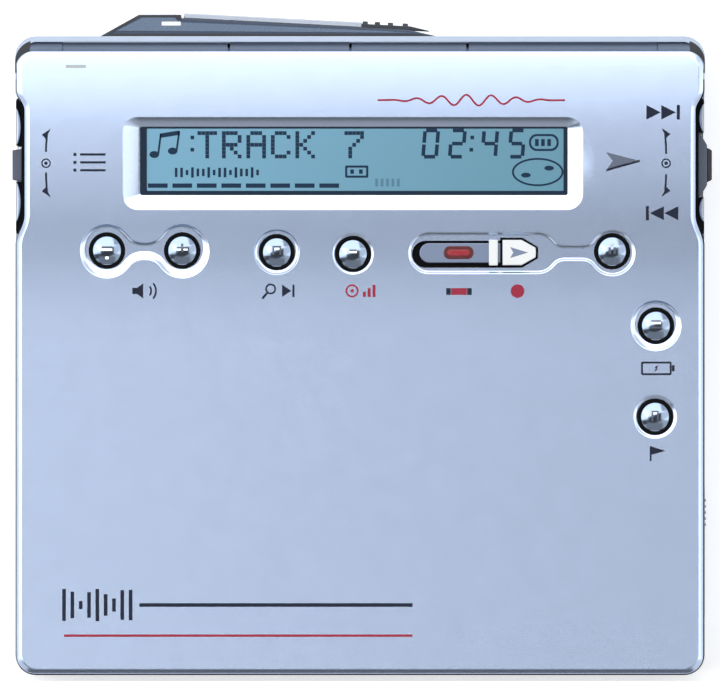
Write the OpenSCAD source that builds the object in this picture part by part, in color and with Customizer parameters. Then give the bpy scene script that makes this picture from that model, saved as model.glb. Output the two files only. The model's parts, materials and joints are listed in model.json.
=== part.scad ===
// Portable minidisc recorder with a hinged lid, in millimetres.
// +X is the right side, +Y is the hinge side, +Z leaves the lid. The origin is the
// centre of the flat underside, and z = 0 is that underside.

/* [Case] */
// Width of the case over the belt
body_w = 78.9; // [78.9:0.1:79.6]
// From the origin to the front face of the belt
front_d = 36; // [36:0.1:36.4]
// From the origin to the rear face of the belt
rear_d = 37.1; // [37.1:0.1:37.4]
// Height of the closed case
body_h = 17.1; // [17.1:0.05:17.5]
// Wall of the belt
wall = 0.9; // [0.8:0.05:0.9]
// Floor of the bottom cover
floor_t = 0.8; // [0.7:0.05:0.8]
// Height of the bottom cover
cover_h = 1.8; // [1.6:0.1:1.8]
// Height of the belt's top edge
belt_top = 11.6; // [11.4:0.1:11.6]
// Radius of the case corners
corner_r = 2.4; // [2:0.1:2.8]

/* [Lid] */
// Thickness of the lid plate
lid_t = 0.9; // [0.85:0.05:0.95]
// Wall of the lid
lid_wall = 0.8; // [0.7:0.05:0.85]
// How far the lid lies inside the belt's outer face
lid_inset = 0.35; // [0.3:0.05:0.45]
// Depth of the side notches around the levers
notch_d = 0.8; // [0.6:0.05:0.9]
// Width of the bevel round the lid's top
bevel_w = 0.75; // [0.5:0.05:0.8]
// Drop of the lid's rear edge
lid_drop = 0.55; // [0.3:0.05:0.6]
// From the case's rear face to the lid's rear edge
lid_rear = 1.75; // [1.7:0.05:1.8]

/* [Hinge] */
// Height of the hinge axis
hinge_z = 13.35; // [13.3:0.05:13.4]
// Radius of the hinge pin
pin_r = 0.4; // [0.3:0.05:0.45]
// Radial clearance between the pin and its bores
pin_gap = 0.03; // [0.02:0.01:0.05]
// Outer radius of the hinge barrel
barrel_r = 0.85; // [0.75:0.05:0.85]

/* [Cartridge] */
// Width of the disc cartridge
cart_w = 72; // [71.8:0.1:72]
// Depth of the disc cartridge
cart_d = 68; // [67.8:0.1:68]
// Thickness of the disc cartridge
cart_h = 5; // [4.9:0.05:5.1]
// Sheet of the cartridge holder
holder_t = 0.4; // [0.3:0.05:0.4]

/* [Screen] */
// Width of the display window
lcd_w = 48.85; // [47:0.1:49]
// Depth of the display window
lcd_d = 7.7; // [7:0.1:7.8]
// Centre of the window, across
lcd_x = -0.7; // [-1:0.1:0]
// From the row of keys back to the window's centre
lcd_y = 10.25; // [10.2:0.05:10.3]
// Depth of the bevelled recess around the window
lcd_sink = 0.7; // [0.5:0.05:0.75]

/* [Keys] */
// From the case's rear face to the row of keys
row_y = 24.6; // [24.5:0.05:24.7]
// Radius of a key's cap
cap_r = 1.65; // [1.5:0.05:1.7]
// Gap ring round a key's cap
cap_gap = 0.43; // [0.35:0.02:0.45]
// Travel of a key
key_travel = 0.35; // [0.25:0.05:0.4]
// Depth of the dishes round the keys
dish_deep = 0.45; // [0.3:0.05:0.5]

/* [Record slider] */
// Length of the sliding plate
rec_l = 15; // [14:0.1:15.2]
// Width of the sliding plate
rec_w = 3.6; // [3.4:0.1:3.7]
// Travel of the record slider
rec_travel = 1.7; // [1.2:0.1:1.7]

/* [Side levers] */
// From the row of keys back to the levers
lever_y = 9.9; // [9.7:0.1:10.1]
// How far a lever pushes in
lever_push = 0.35; // [0.2:0.05:0.35]
// Half length of the left knob
jog_half = 1.85; // [1.6:0.05:1.9]
// Half length of the right knob
ctrl_half = 3.9; // [3.6:0.05:3.9]

/* [Open slide] */
// Travel of the open slide
open_travel = 2.5; // [2:0.1:2.5]

/* [Battery] */
// Length of the flat rechargeable cell
cell_l = 67; // [66.5:0.1:67]
// Width of the cell
cell_w = 17; // [16.8:0.1:17]
// Thickness of the cell
cell_h = 6; // [5.8:0.05:6.05]

/* [Sockets] */
// Bore radius of a plug socket
plug_r = 1.8; // [1.75:0.01:1.82]
// Depth of a plug socket
plug_l = 12; // [11:0.5:12.5]
// Spacing of the sockets
jack_step = 8.2; // [8:0.1:8.4]

/* [Drive] */
// Spindle position, front to rear
spindle_y = -0.6; // [-0.8:0.1:-0.4]
// Radius of the spindle motor
motor_r = 10.5; // [10:0.1:10.6]
// Pickup position at its inner stop
sled_in = 16; // [15.8:0.1:16.2]
// Travel of the pickup
sled_travel = 14; // [12:0.5:14]
// Radius of the pickup rails
rail_r = 0.6; // [0.5:0.05:0.65]

/* [Hidden] */
$fn = 48;
hw = body_w / 2;
lhw = hw - lid_inset;
lid_y1 = rear_d - lid_rear;
keys_y = rear_d - row_y;
lcd_yc = keys_y + lcd_y;
lev_y = keys_y + lever_y;
lid_front = -front_d + 0.25;
lid_low = belt_top + 0.2;
lid_z = body_h - lid_t;
hinge_y = rear_d - 0.65 - barrel_r - 0.15;
rear_in = rear_d - 0.65;
rear_top = hinge_z + barrel_r;
holder_hx = cart_w / 2 + 0.2;
barrel_hx = holder_hx - 2.2;
pin_hx = holder_hx + 0.3;
board_z = floor_t + 0.4;
board_top = board_z + 0.8;
cell_z = floor_t + 0.2;
cell_y = -front_d + 5.5 + cell_w / 2;
cell_x1 = hw - 1.7;
cell_x0 = cell_x1 - cell_l;
tunnel_z = cell_z + cell_h + 0.1;
deck_z = board_top + 4.4;
deck_t = 0.6;
deck_top = deck_z + deck_t;
holder_z = 7.9;
cart_z = holder_z + holder_t + 0.1;
holder_top_z = cart_z + cart_h + 0.1;
cart_y0 = -front_d + wall + 0.5;
holder_y1 = hinge_y - 1.75;
lid_board_z = lid_z - 1.6;
liner_z = lid_board_z - 0.4;
liner_t = 0.3;
jack_z = board_top + 2.2;
jack_y = [for (i = [0:2]) -7.6 + i * jack_step];
jack_x0 = -hw + 0.15;
rail_z = board_top + 2.3;
rail_dy = 8;
screw_dy = 10.8;
motor2_dy = 14;
notch_y = [lev_y - 9.2, lev_y - 5.8, lev_y + 6.2, lev_y + 8.6];
recess = lcd_sink / 0.7;
lcd_in = [1.75, 1.7, 2.1, 0.9];
key_hole_r = cap_r + cap_gap;
key_z = lid_z - 0.35;
rec_x = 13.2;
rec_y = keys_y - 0.15;
rec_gap = 0.2;
win_l = jog_half + 0.72 + 0.33;
win_r = ctrl_half + 0.72 + 0.33;
lever_x = hw - 4.95;
lever_z = board_top + 1.2;
open_a = -2.96;
open_x0 = -20.4;
open_y0 = rear_d + 2.1;
door_y0 = cell_y - cell_w / 2 - 1.2;
door_y1 = cell_y + cell_w / 2;
deck_y0 = door_y1 + 0.8;
deck_y1 = rear_d - 5.8;
deck_hx = hw - 3.85;
door_x = hw - 0.7;
door_top = tunnel_z + 0.5;

// Key name, x, y and dish radius
KEYS = [
  ["key_vol_down", -hw + 10.55, keys_y + 0.1, 3.05],
  ["key_vol_up", -hw + 19.15, keys_y + 0.1, 3.05],
  ["key_search", -9.5, keys_y - 0.1, 2.6],
  ["key_mode", -0.8, keys_y - 0.3, 2.35],
  ["key_pause", hw - 10.65, keys_y, 2.6],
  ["key_stop", hw - 5.65, keys_y - 8.5, 2.9],
  ["key_mark", hw - 5.75, keys_y - 18.9, 2.5]
];
SCREWS = [[hw - 3.8, -front_d + 2.8], [-hw + 3.8, -front_d + 2.8],
          [hw - 3.7, rear_d - 3.6], [-hw + 3.7, rear_d - 3.6]];
POSTS = [[deck_hx - 2.6, deck_y0 + 1.6], [-22, deck_y0 + 1.6],
         [deck_hx - 2.6, deck_y1 - 2], [-deck_hx + 2.6, deck_y1 - 2]];
LIDPOSTS = [[hw - 5, -front_d + 4], [-hw + 5, -front_d + 4],
            [hw - 7, rear_d - 5.6], [-hw + 7, rear_d - 5.6]];

// Smooth step from 0 at a to 1 at b
function step(a, b, y) = let (t = min(1, max(0, (y - a) / (b - a)))) t * t * (3 - 2 * t);
// Half width of the lid at y, with its side notch
function edge_x(y) = lhw - notch_d * (step(notch_y[0], notch_y[1], y)
                     - step(notch_y[2], notch_y[3], y));
S_YS = concat([for (i = [0:8]) notch_y[0] + (notch_y[1] - notch_y[0]) * i / 8],
              [for (i = [0:8]) notch_y[2] + (notch_y[3] - notch_y[2]) * i / 8]);
function arc(cx, cy, r, a0, a1, n) =
  [for (i = [0:n]) [cx + r * cos(a0 + (a1 - a0) * i / n), cy + r * sin(a0 + (a1 - a0) * i / n)]];
function rev(v) = [for (i = [len(v) - 1:-1:0]) v[i]];
// Lid outline drawn in by d all round, counter-clockwise, with a fixed count of points
function lid_pts(d) = let (w = lhw - d, y0 = lid_front + d, y1 = lid_y1 - d,
    r0 = 2.0 - d * 0.6, r1 = 2.4 - d * 0.6) concat(
  arc(w - r0, y0 + r0, r0, -90, 0, 6),
  [for (y = S_YS) [edge_x(y) - d, y]],
  arc(w - r1, y1 - r1, r1, 0, 90, 6),
  arc(-w + r1, y1 - r1, r1, 90, 180, 6),
  [for (y = rev(S_YS)) [-edge_x(y) + d, y]],
  arc(-w + r0, y0 + r0, r0, 180, 270, 6));

module rbox(x0, x1, y0, y1, z0, z1, r) {
  translate([0, 0, z0]) linear_extrude(z1 - z0) union() {
    translate([x0 + r, y0]) square([x1 - x0 - 2 * r, y1 - y0]);
    translate([x0, y0 + r]) square([x1 - x0, y1 - y0 - 2 * r]);
    for (x = [x0 + r, x1 - r], y = [y0 + r, y1 - r]) translate([x, y]) circle(r);
  }
}
module box(x0, x1, y0, y1, z0, z1) {
  translate([x0, y0, z0]) cube([x1 - x0, y1 - y0, z1 - z0]);
}
module rod_x(x0, x1, y, z, r) {
  translate([x0, y, z]) rotate([0, 90, 0]) cylinder(h = x1 - x0, r = r);
}
module rod_z(x, y, z0, z1, r) {
  translate([x, y, z0]) cylinder(h = z1 - z0, r = r);
}
// Small machine screw, head down at z = 0, pointing up
module screw(len) {
  difference() {
    union() {
      cylinder(h = 0.4, r1 = 1.2, r2 = 0.9);
      cylinder(h = len, r = 0.6);
    }
    for (a = [0, 90]) rotate([0, 0, a]) translate([-0.8, -0.15, -0.1]) cube([1.6, 0.3, 0.35]);
  }
}

module bottom_cover() {
  color("silver") difference() {
    union() {
      difference() {
        rbox(-hw + 0.3, hw - 0.3, -front_d + 0.3, rear_d - 0.3, 0, cover_h, corner_r);
        rbox(-hw + 1.1, hw - 1.1, -front_d + 1.1, rear_d - 1.1, floor_t, cover_h + 1, corner_r - 0.8);
      }
      for (p = POSTS) rod_z(p[0], p[1], floor_t - 0.1, board_z, 1.5);
      rod_z(-hw + 5.4, cell_y - 2, floor_t - 0.1, 5, 2.4);
      for (x = [-24, 4, 30]) box(x, x + 2, cell_y - 7, cell_y + 7, floor_t - 0.1, cell_z);
    }
    for (p = SCREWS) translate([p[0], p[1], -0.1]) {
      cylinder(h = 3, r = 0.65);
      cylinder(h = 0.52, r = 1.25);
    }
    rod_z(-hw + 5.4, cell_y - 2, -0.1, 4.2, 1.5);
    box(hw - 1.4, hw, door_y0 - 1, door_y1 + 0.15, floor_t, cover_h + 1);
  }
}

module side_belt() {
  color([0.68, 0.72, 0.78]) difference() {
    union() {
      difference() {
        rbox(-hw, hw, -front_d, rear_d, cover_h, belt_top, corner_r);
        rbox(-hw + wall, hw - wall, -front_d + wall, rear_in, cover_h - 1, belt_top + 1, corner_r - 0.8);
      }
      intersection() {
        difference() {
          rbox(-hw, hw, -front_d, rear_d, belt_top - 0.1, rear_top, corner_r);
          rbox(-hw + wall, hw - wall, -front_d + wall, rear_in, belt_top - 1, rear_top + 1, corner_r - 0.8);
        }
        box(-hw - 1, hw + 1, holder_y1 + 0.2, rear_d + 1, belt_top - 1, rear_top + 1);
      }
      for (s = [-1, 1]) {
        translate([s > 0 ? hw - 5.4 : -hw + 2.3, 0, 0]) {
          box(0, 3.1, -front_d + 1.15, -front_d + 4.3, floor_t, cover_h + 0.1);
          box(0, 3.1, -front_d + wall - 0.1, -front_d + 4.3, cover_h, 5.2);
          box(0, 3.1, rear_d - 5.2, rear_d - 1.15, floor_t, cover_h + 0.1);
          box(0, 3.1, rear_d - 5.2, rear_in + 0.1, cover_h, 5.2);
        }
      }
      box(hw - 1.6, hw - wall + 0.1, door_y0 - 1, door_y0 + 0.9, door_top, door_top + 1.4);
    }
    for (p = SCREWS) rod_z(p[0], p[1], 0, 5.6, 0.62);
    for (y = jack_y) rod_x(-hw - 1, -hw + wall + 1, y, jack_z, 2.2);
    translate([24, rear_d + 1, jack_z]) rotate([90, 0, 0]) cylinder(h = 3, r = 1.9);
    box(-hw - 1, -hw + wall + 0.1, lev_y - win_l - 0.7, lev_y + win_l + 0.7, 5.8, belt_top + 1);
    box(hw - wall - 0.1, hw + 1, lev_y - win_r - 0.7, lev_y + win_r + 0.7, 5.8, belt_top + 1);
    box(hw - wall - 0.1, hw + 1, 3.9, 9.9, 4.2, 6.2);
    box(hw - wall - 0.01, hw + 1, door_y0 - 1, door_y1 + 0.15, floor_t, door_top);
    rod_z(door_x, door_y0, door_top - 0.5, door_top + 0.9, 0.38);
  }
}

module hinge_bracket() {
  color("gray") difference() {
    for (s = [[-14.85, -1.25], [12.45, barrel_hx]]) {
      rod_x(s[0], s[1], hinge_y, hinge_z, barrel_r);
      box(s[0], s[1], hinge_y, rear_in, hinge_z - 0.85, hinge_z + 0.2);
      box(s[0], s[1], rear_in - 0.4, rear_in, 8.5, hinge_z);
    }
    rod_x(-hw, hw, hinge_y, hinge_z, pin_r + pin_gap);
  }
}

module hinge_pin() {
  color("silver") rod_x(-pin_hx, pin_hx, hinge_y, hinge_z, pin_r);
}

module guard_frame() {
  translate([open_x0, open_y0, 0]) rotate([0, 0, open_a]) children();
}

module rear_guard() {
  color([0.25, 0.31, 0.4]) difference() {
    translate([0, 0, 3.6]) linear_extrude(9) polygon([[open_x0 - 9.4, rear_d], [open_x0 - 4.9, rear_d + 2.5],
      [open_x0 - 0.2, rear_d + 2.5], [open_x0, open_y0], [open_x0 + 26, rear_d + 0.76], [open_x0 + 29.3, rear_d]]);
    guard_frame() {
      translate([1.2, -0.6, 7.4]) cube([13.3, 1.2, 1.4]);
      translate([1.2, -1.35, 6.6]) cube([13.3, 0.85, 3]);
    }
  }
}

// Silver escutcheon beside a lever: s = -1 left, 1 right, half = half of its window
module bezel(s, half) {
  ys = [for (i = [0:10]) i / 10];
  a = notch_y[0] + 0.4;
  b = lev_y - half;
  c = lev_y + half;
  d = notch_y[3] - 0.4;
  lens1 = concat([[hw, a], [hw, b]], [for (t = rev(ys)) [edge_x(a + (b - a) * t) + 0.15, a + (b - a) * t]]);
  lens2 = concat([[hw, c], [hw, d]], [for (t = rev(ys)) [edge_x(c + (d - c) * t) + 0.15, c + (d - c) * t]]);
  color([0.86, 0.88, 0.92]) mirror([s < 0 ? 1 : 0, 0, 0]) union() {
    translate([0, 0, belt_top]) linear_extrude(0.4) {
      polygon(lens1);
      polygon(lens2);
    }
    box(hw - wall, hw, lev_y - half - 0.7, lev_y - half, 5.8, belt_top + 0.2);
    box(hw - wall, hw, lev_y + half, lev_y + half + 0.7, 5.8, belt_top + 0.2);
    box(hw - wall, hw, lev_y - half - 0.1, lev_y + half + 0.1, 5.8, 6.4);
  }
}
module bezel_left() { bezel(-1, win_l); }
module bezel_right() { bezel(1, win_r); }

module main_board() {
  color([0.05, 0.35, 0.2]) difference() {
    box(-hw + 1.65, hw - 1.65, deck_y0 + 0.1, deck_y1, board_z, board_top);
    for (p = POSTS) rod_z(p[0], p[1], 0, 3, 0.7);
  }
}

module board_chips() {
  color([0.12, 0.12, 0.13]) {
    box(-29, -19, 17, 27, board_top, board_top + 1);
    box(-14, -5, 17, 26, board_top, board_top + 1);
    box(1, 8, 18, 25, board_top, board_top + 1);
    box(14, 22, 18, 24, board_top, board_top + 1.2);
    for (x = [-15, -9, -3, 3, 9]) box(x, x + 2, 12.2, 14.2, board_top, board_top + 0.8);
    rod_z(27, 15.5, board_top, board_top + 1.8, 1.9);
    rod_z(27, 20.5, board_top, board_top + 1.8, 1.9);
  }
}

module mechanism_deck() {
  color("lightgray") difference() {
    union() {
      box(-deck_hx, deck_hx, deck_y0, deck_y1, deck_z, deck_top);
      for (p = POSTS) rod_z(p[0], p[1], board_top, deck_z + 0.1, 1.4);
      for (x = [sled_in - 5.8, sled_in + sled_travel + 5]) {
        box(x, x + 1, spindle_y - rail_dy - 1, spindle_y - rail_dy + 1, rail_z - 1, deck_z + 0.1);
        box(x, x + 1, spindle_y + rail_dy - 1, spindle_y + screw_dy + 1, rail_z - 1, deck_z + 0.1);
      }
    }
    for (p = POSTS) rod_z(p[0], p[1], 1, 8, 0.62);
    rod_z(0, spindle_y, deck_z - 1, deck_top + 1, 4.4);
    box(sled_in - 2.6, sled_in + sled_travel + 2.6, spindle_y - 2.2, spindle_y + 2.2, deck_z - 1, deck_top + 1);
    for (s = [-1, 1]) rod_x(0, 38, spindle_y + s * rail_dy, rail_z, rail_r + 0.02);
    rod_x(0, 38, spindle_y + screw_dy, rail_z, 0.44);
  }
}

module screws() {
  color("dimgray") {
    for (p = SCREWS) translate([p[0], p[1], 0.02]) screw(4);
    for (p = POSTS) translate([p[0], p[1], deck_top + 0.4]) rotate([180, 0, 0]) screw(4);
  }
}

module spindle_motor() {
  color([0.3, 0.3, 0.32]) difference() {
    rod_z(0, spindle_y, board_top, board_top + 3.1, motor_r);
    rod_z(0, spindle_y, board_top + 0.5, board_top + 4, 1.04);
  }
}

module pickup_rails() {
  color("silver") for (s = [-1, 1])
    rod_x(sled_in - 5.8, sled_in + sled_travel + 6, spindle_y + s * rail_dy, rail_z, rail_r);
}

module sled_motor() {
  color("gray") union() {
    rod_x(11.8, 21, spindle_y + motor2_dy, rail_z - 0.1, 1.85);
    rod_x(9, 11.9, spindle_y + motor2_dy, rail_z - 0.1, 0.4);
    rod_x(9.2, 10, spindle_y + motor2_dy, rail_z - 0.1, 1.25);
    box(12.5, 20, spindle_y + motor2_dy - 1.2, spindle_y + motor2_dy + 1.2, board_top, rail_z - 1);
  }
}

module battery_tunnel() {
  color("lightgray") union() {
    box(cell_x0 - 0.9, hw - 1.6, cell_y - cell_w / 2 - 0.5, cell_y + cell_w / 2 + 0.5, tunnel_z, tunnel_z + 0.3);
    box(cell_x0 - 0.9, hw - 1.6, cell_y + cell_w / 2 + 0.1, cell_y + cell_w / 2 + 0.5, floor_t, tunnel_z + 0.1);
    box(cell_x0 - 0.9, hw - 1.6, cell_y - cell_w / 2 - 0.5, cell_y - cell_w / 2 - 0.1, floor_t, tunnel_z + 0.1);
    box(cell_x0 - 0.9, cell_x0 - 0.5, cell_y - cell_w / 2 - 0.5, cell_y + cell_w / 2 + 0.5, floor_t, tunnel_z + 0.1);
    box(cell_x0 - 0.6, cell_x0 - 0.05, cell_y - 2.5, cell_y + 2.5, cell_z + 1.5, cell_z + 4.5);
  }
}

module battery_cell() {
  color([0.75, 0.78, 0.8]) union() {
    rbox(cell_x0, cell_x1 - 0.4, cell_y - cell_w / 2, cell_y + cell_w / 2, cell_z, cell_z + cell_h, 0.8);
    translate([cell_x1 - 0.5, cell_y - 2.2, cell_z + 1.8]) cube([0.5, 4.4, 2.4]);
  }
}

// Round plug socket on the left wall
module jack(y) {
  color([0.15, 0.15, 0.17]) difference() {
    union() {
      box(-hw + wall, jack_x0 + plug_l + 1.2, y - 3, y + 3, board_top, jack_z + 2.1);
      rod_x(jack_x0, -hw + wall + 0.1, y, jack_z, 2.1);
    }
    rod_x(jack_x0 - 1, jack_x0 + plug_l, y, jack_z, plug_r);
  }
}
module headphone_jack() { jack(jack_y[2]); }
module line_in_jack() { jack(jack_y[0]); }
module mic_jack() { jack(jack_y[1]); }

module dc_socket() {
  color([0.15, 0.15, 0.17]) translate([24, rear_in, jack_z]) difference() {
    union() {
      translate([-3, -8.2, -2.2]) cube([6, 8.2, 4.2]);
      rotate([-90, 0, 0]) cylinder(h = 0.5, r = 1.8);
    }
    translate([0, 1, 0]) rotate([90, 0, 0]) cylinder(h = 8, r = 1.4);
  }
}

// Whole lid block before it is hollowed: a straight prism, then the bevel in fine steps
module lid_block() {
  bevel_h = 0.55;
  steps = 4;
  translate([0, 0, lid_low]) linear_extrude(body_h - bevel_h - lid_low) polygon(lid_pts(0));
  for (i = [1:steps]) translate([0, 0, body_h - bevel_h])
    linear_extrude(bevel_h * i / steps) polygon(lid_pts(bevel_w * (i - 0.5) / steps));
}

// Cone that widens to radius r at the lid's top
module dish(x, y, r, deep) {
  translate([x, y, body_h - deep]) cylinder(h = deep + 0.5, r1 = r - deep, r2 = r + 0.5);
}

module lid_shell() {
  x0 = lcd_x - lcd_w / 2;
  x1 = lcd_x + lcd_w / 2;
  y0 = lcd_yc - lcd_d / 2;
  y1 = lcd_yc + lcd_d / 2;
  zt = body_h - lcd_sink;
  color([0.72, 0.77, 0.85]) difference() {
    union() {
      difference() {
        lid_block();
        translate([0, 0, lid_low - 1]) linear_extrude(lid_z - lid_low + 1) polygon(lid_pts(lid_wall));
        box(-hw, hw, lid_y1 - lid_wall - 1.2, lid_y1 + 2, lid_low - 1, rear_top + 0.3);
      }
      box(x0 - 1.2, x1 + 1.2, y0 - 1.2, y1 + 1.2, lid_z - 0.45, lid_z + 0.1);
      for (p = LIDPOSTS) rod_z(p[0], p[1], liner_z + liner_t, lid_z + 0.1, 1.3);
    }
    // Rear edge rolls down
    rotate([90, 0, 90]) translate([0, 0, -hw - 1]) linear_extrude(2 * hw + 2)
      polygon(concat([for (i = [0:6]) let (t = i / 6) [lid_y1 - 7.15 + 7.2 * t, body_h - lid_drop * t * t]],
                     [[lid_y1 + 2, body_h - lid_drop], [lid_y1 + 2, body_h + 1], [lid_y1 - 7.15, body_h + 1]]));
    // Window and its bevelled surround
    box(x0, x1, y0, y1, lid_z - 2, body_h + 1);
    box(x0, x1, y0, y1, zt, body_h + 1);
    rotate([90, 0, 90]) translate([0, 0, x0]) linear_extrude(lcd_w)
      polygon([[y0, zt], [y1, zt], [y1 + lcd_in[3] * 1.15, body_h + 0.15 * lcd_sink], [y0 - lcd_in[1] * 1.15, body_h + 0.15 * lcd_sink]]);
    rotate([90, 0, 0]) translate([0, 0, -y1]) linear_extrude(lcd_d)
      polygon([[x0, zt], [x1, zt], [x1 + lcd_in[0] * 1.15, body_h + 0.15 * lcd_sink], [x0 - lcd_in[2] * 1.15, body_h + 0.15 * lcd_sink]]);
    for (c = [[x0, y0, lcd_in[1]], [x1, y0, lcd_in[1]], [x0, y1, lcd_in[3]], [x1, y1, lcd_in[3]]])
      translate([c[0], c[1], zt]) cylinder(h = lcd_sink * 1.15, r1 = 0.01, r2 = c[2] * 1.15);
    // Keys
    for (k = KEYS) {
      dish(k[1], k[2], k[3], dish_deep);
      rod_z(k[1], k[2], lid_z - 1, body_h + 1, key_hole_r);
    }
    box(KEYS[0][1], KEYS[1][1], KEYS[0][2] - 0.8, KEYS[0][2] + 0.8, body_h - dish_deep, body_h + 1);
    // Record slider and the shallow channel to its right
    rbox(rec_x - rec_l / 2 - rec_gap, rec_x + rec_l / 2 + rec_travel + rec_gap,
      rec_y - rec_w / 2 - rec_gap, rec_y + rec_w / 2 + rec_gap, lid_z - 1, body_h + 1, rec_w / 2 + rec_gap - 0.01);
    box(rec_x + rec_l / 2, KEYS[4][1], rec_y - 0.7, rec_y + 0.7, body_h - 0.3, body_h + 1);
    for (p = LIDPOSTS) {
      rod_z(p[0], p[1], 10, lid_z - 0.1, 0.62);
      rod_z(p[0], p[1], 10, liner_z + liner_t + 0.15, 1.05);
    }
  }
}

module lcd_window() {
  color([0.45, 0.62, 0.7]) box(lcd_x - lcd_w / 2 + 0.05, lcd_x + lcd_w / 2 - 0.05, lcd_yc - lcd_d / 2 + 0.05,
    lcd_yc + lcd_d / 2 - 0.05, lid_z - 0.45, body_h - lcd_sink);
}
module lcd_module() {
  color([0.2, 0.22, 0.25]) box(lcd_x - lcd_w / 2 - 0.8, lcd_x + lcd_w / 2 + 0.8, lcd_yc - lcd_d / 2 - 0.8,
    lcd_yc + lcd_d / 2 + 0.8, liner_z + liner_t, lid_z - 0.45);
}

module button_board() {
  color([0.1, 0.4, 0.25]) difference() {
    union() {
      box(-hw + 6.45, hw - 2.2, keys_y - 23.5, keys_y + 3.5, lid_board_z, lid_board_z + 0.5);
      for (k = KEYS) rod_z(k[1], k[2], lid_board_z, lid_board_z + 0.75, 1.5);
      for (x = [-hw + 9.45, 0, hw - 9.45]) rod_z(x, keys_y - 11.5, liner_z + liner_t, lid_board_z + 0.1, 1);
    }
    box(-15, 20, keys_y - 24.5, keys_y - 6.5, lid_board_z - 1, lid_board_z + 1);
  }
}

module lid_liner() {
  color([0.16, 0.17, 0.19]) difference() {
    translate([0, 0, liner_z]) linear_extrude(liner_t) polygon(lid_pts(lid_wall + 0.1));
    box(-hw, hw, holder_y1 - 0.1, lid_y1 + 1, 10, 20);
    for (p = LIDPOSTS) translate([p[0], p[1], liner_z - 0.1]) cylinder(h = 0.5, r = 1.25);
  }
}
module lid_screws() {
  color("dimgray") for (p = LIDPOSTS) translate([p[0], p[1], liner_z]) screw(1.8);
}

module lid_leaf() {
  color("gray") difference() {
    for (s = [[-barrel_hx, -15.15], [-0.95, 12.15]]) {
      rod_x(s[0], s[1], hinge_y, hinge_z, barrel_r);
      box(s[0], s[1], hinge_y - 1.3, hinge_y, hinge_z - 0.35, rear_top);
      box(s[0], s[1], lid_y1 - lid_wall - 0.4, lid_y1 - lid_wall, hinge_z, lid_z);
    }
    rod_x(-hw, hw, hinge_y, hinge_z, pin_r + pin_gap);
  }
}

module lid_claws() {
  color("gray") for (s = [-1, 1]) mirror([s < 0 ? 1 : 0, 0, 0]) {
    box(lhw - lid_wall - 0.8, lhw - lid_wall, -3, -1, 8.4, 14.1);
    box(lhw - lid_wall - 0.8, lhw - lid_wall, -1.1, -0.3, 8.4, 9.1);
  }
}

module holder_top() {
  color([0.78, 0.8, 0.82]) difference() {
    box(-holder_hx, holder_hx, cart_y0, holder_y1, holder_top_z, holder_top_z + holder_t - 0.05);
    box(sled_in - 2, sled_in + sled_travel + 2, spindle_y - 1.6, spindle_y + 1.6, 10, 20);
  }
}
// Side channel of the holder with its hinge eye
module holder_side(s) {
  color([0.78, 0.8, 0.82]) mirror([s < 0 ? 1 : 0, 0, 0]) difference() {
    union() {
      box(holder_hx, holder_hx + holder_t, cart_y0, hinge_y - 1, holder_z, holder_top_z + holder_t - 0.05);
      box(holder_hx, holder_hx + holder_t, hinge_y - 1.1, hinge_y, hinge_z - barrel_r, hinge_z + 0.4);
      box(holder_hx - 3.6, holder_hx + holder_t, cart_y0, holder_y1, holder_z, holder_z + holder_t);
      rod_x(holder_hx - 0.9, holder_hx + holder_t, hinge_y, hinge_z, barrel_r);
    }
    rod_x(30, hw, hinge_y, hinge_z, pin_r + pin_gap);
  }
}
module holder_left() { holder_side(-1); }
module holder_right() { holder_side(1); }

module head_arm() {
  z = holder_top_z + holder_t;
  color([0.6, 0.6, 0.62]) union() {
    box(sled_in - 1.5, sled_in + 1.5, spindle_y - 1.4, spindle_y + 1.4, holder_top_z, z + 0.1);
    box(sled_in - 1.8, sled_in + 1.8, spindle_y - 4, spindle_y + 4, z, z + 0.15);
  }
}

// One key: cap with a domed top, on a flange that stays under the lid
module key(i) {
  k = KEYS[i];
  rs = 3.4;
  color([0.85, 0.87, 0.9]) translate([k[1], k[2], 0]) union() {
    rod_z(0, 0, key_z, lid_z - 0.05, key_hole_r + 0.45);
    rod_z(0, 0, key_z, body_h - 0.45, cap_r);
    intersection() {
      rod_z(0, 0, body_h - 0.5, body_h + 1, cap_r);
      translate([0, 0, body_h - 0.05 - rs]) sphere(rs, $fn = 96);
    }
  }
}
module key_vol_down() { key(0); }
module key_vol_up() { key(1); }
module key_search() { key(2); }
module key_mode() { key(3); }
module key_pause() { key(4); }
module key_stop() { key(5); }
module key_mark() { key(6); }

module rec_slider() {
  x0 = rec_x - rec_l / 2;
  x1 = rec_x + rec_l / 2;
  color([0.62, 0.68, 0.76]) difference() {
    union() {
      box(x0 - 2.1, x1 + 1.9, rec_y - rec_w / 2 - 0.6, rec_y + rec_w / 2 + 0.6, lid_z - 0.45, lid_z - 0.05);
      rbox(x0, x1, rec_y - rec_w / 2, rec_y + rec_w / 2, lid_z - 0.2, body_h - 0.3, rec_w / 2 - 0.01);
      box(rec_x + 1.5, rec_x + 2.4, rec_y - 1.5, rec_y + 1.5, lid_z, body_h + 0.25);
    }
    box(x0 + 3.9, x0 + 7.3, rec_y - 0.65, rec_y + 0.65, body_h - 0.6, body_h + 1);
    translate([0, 0, body_h - 0.6]) linear_extrude(2) rec_arrow(0.04);
  }
}
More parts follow.
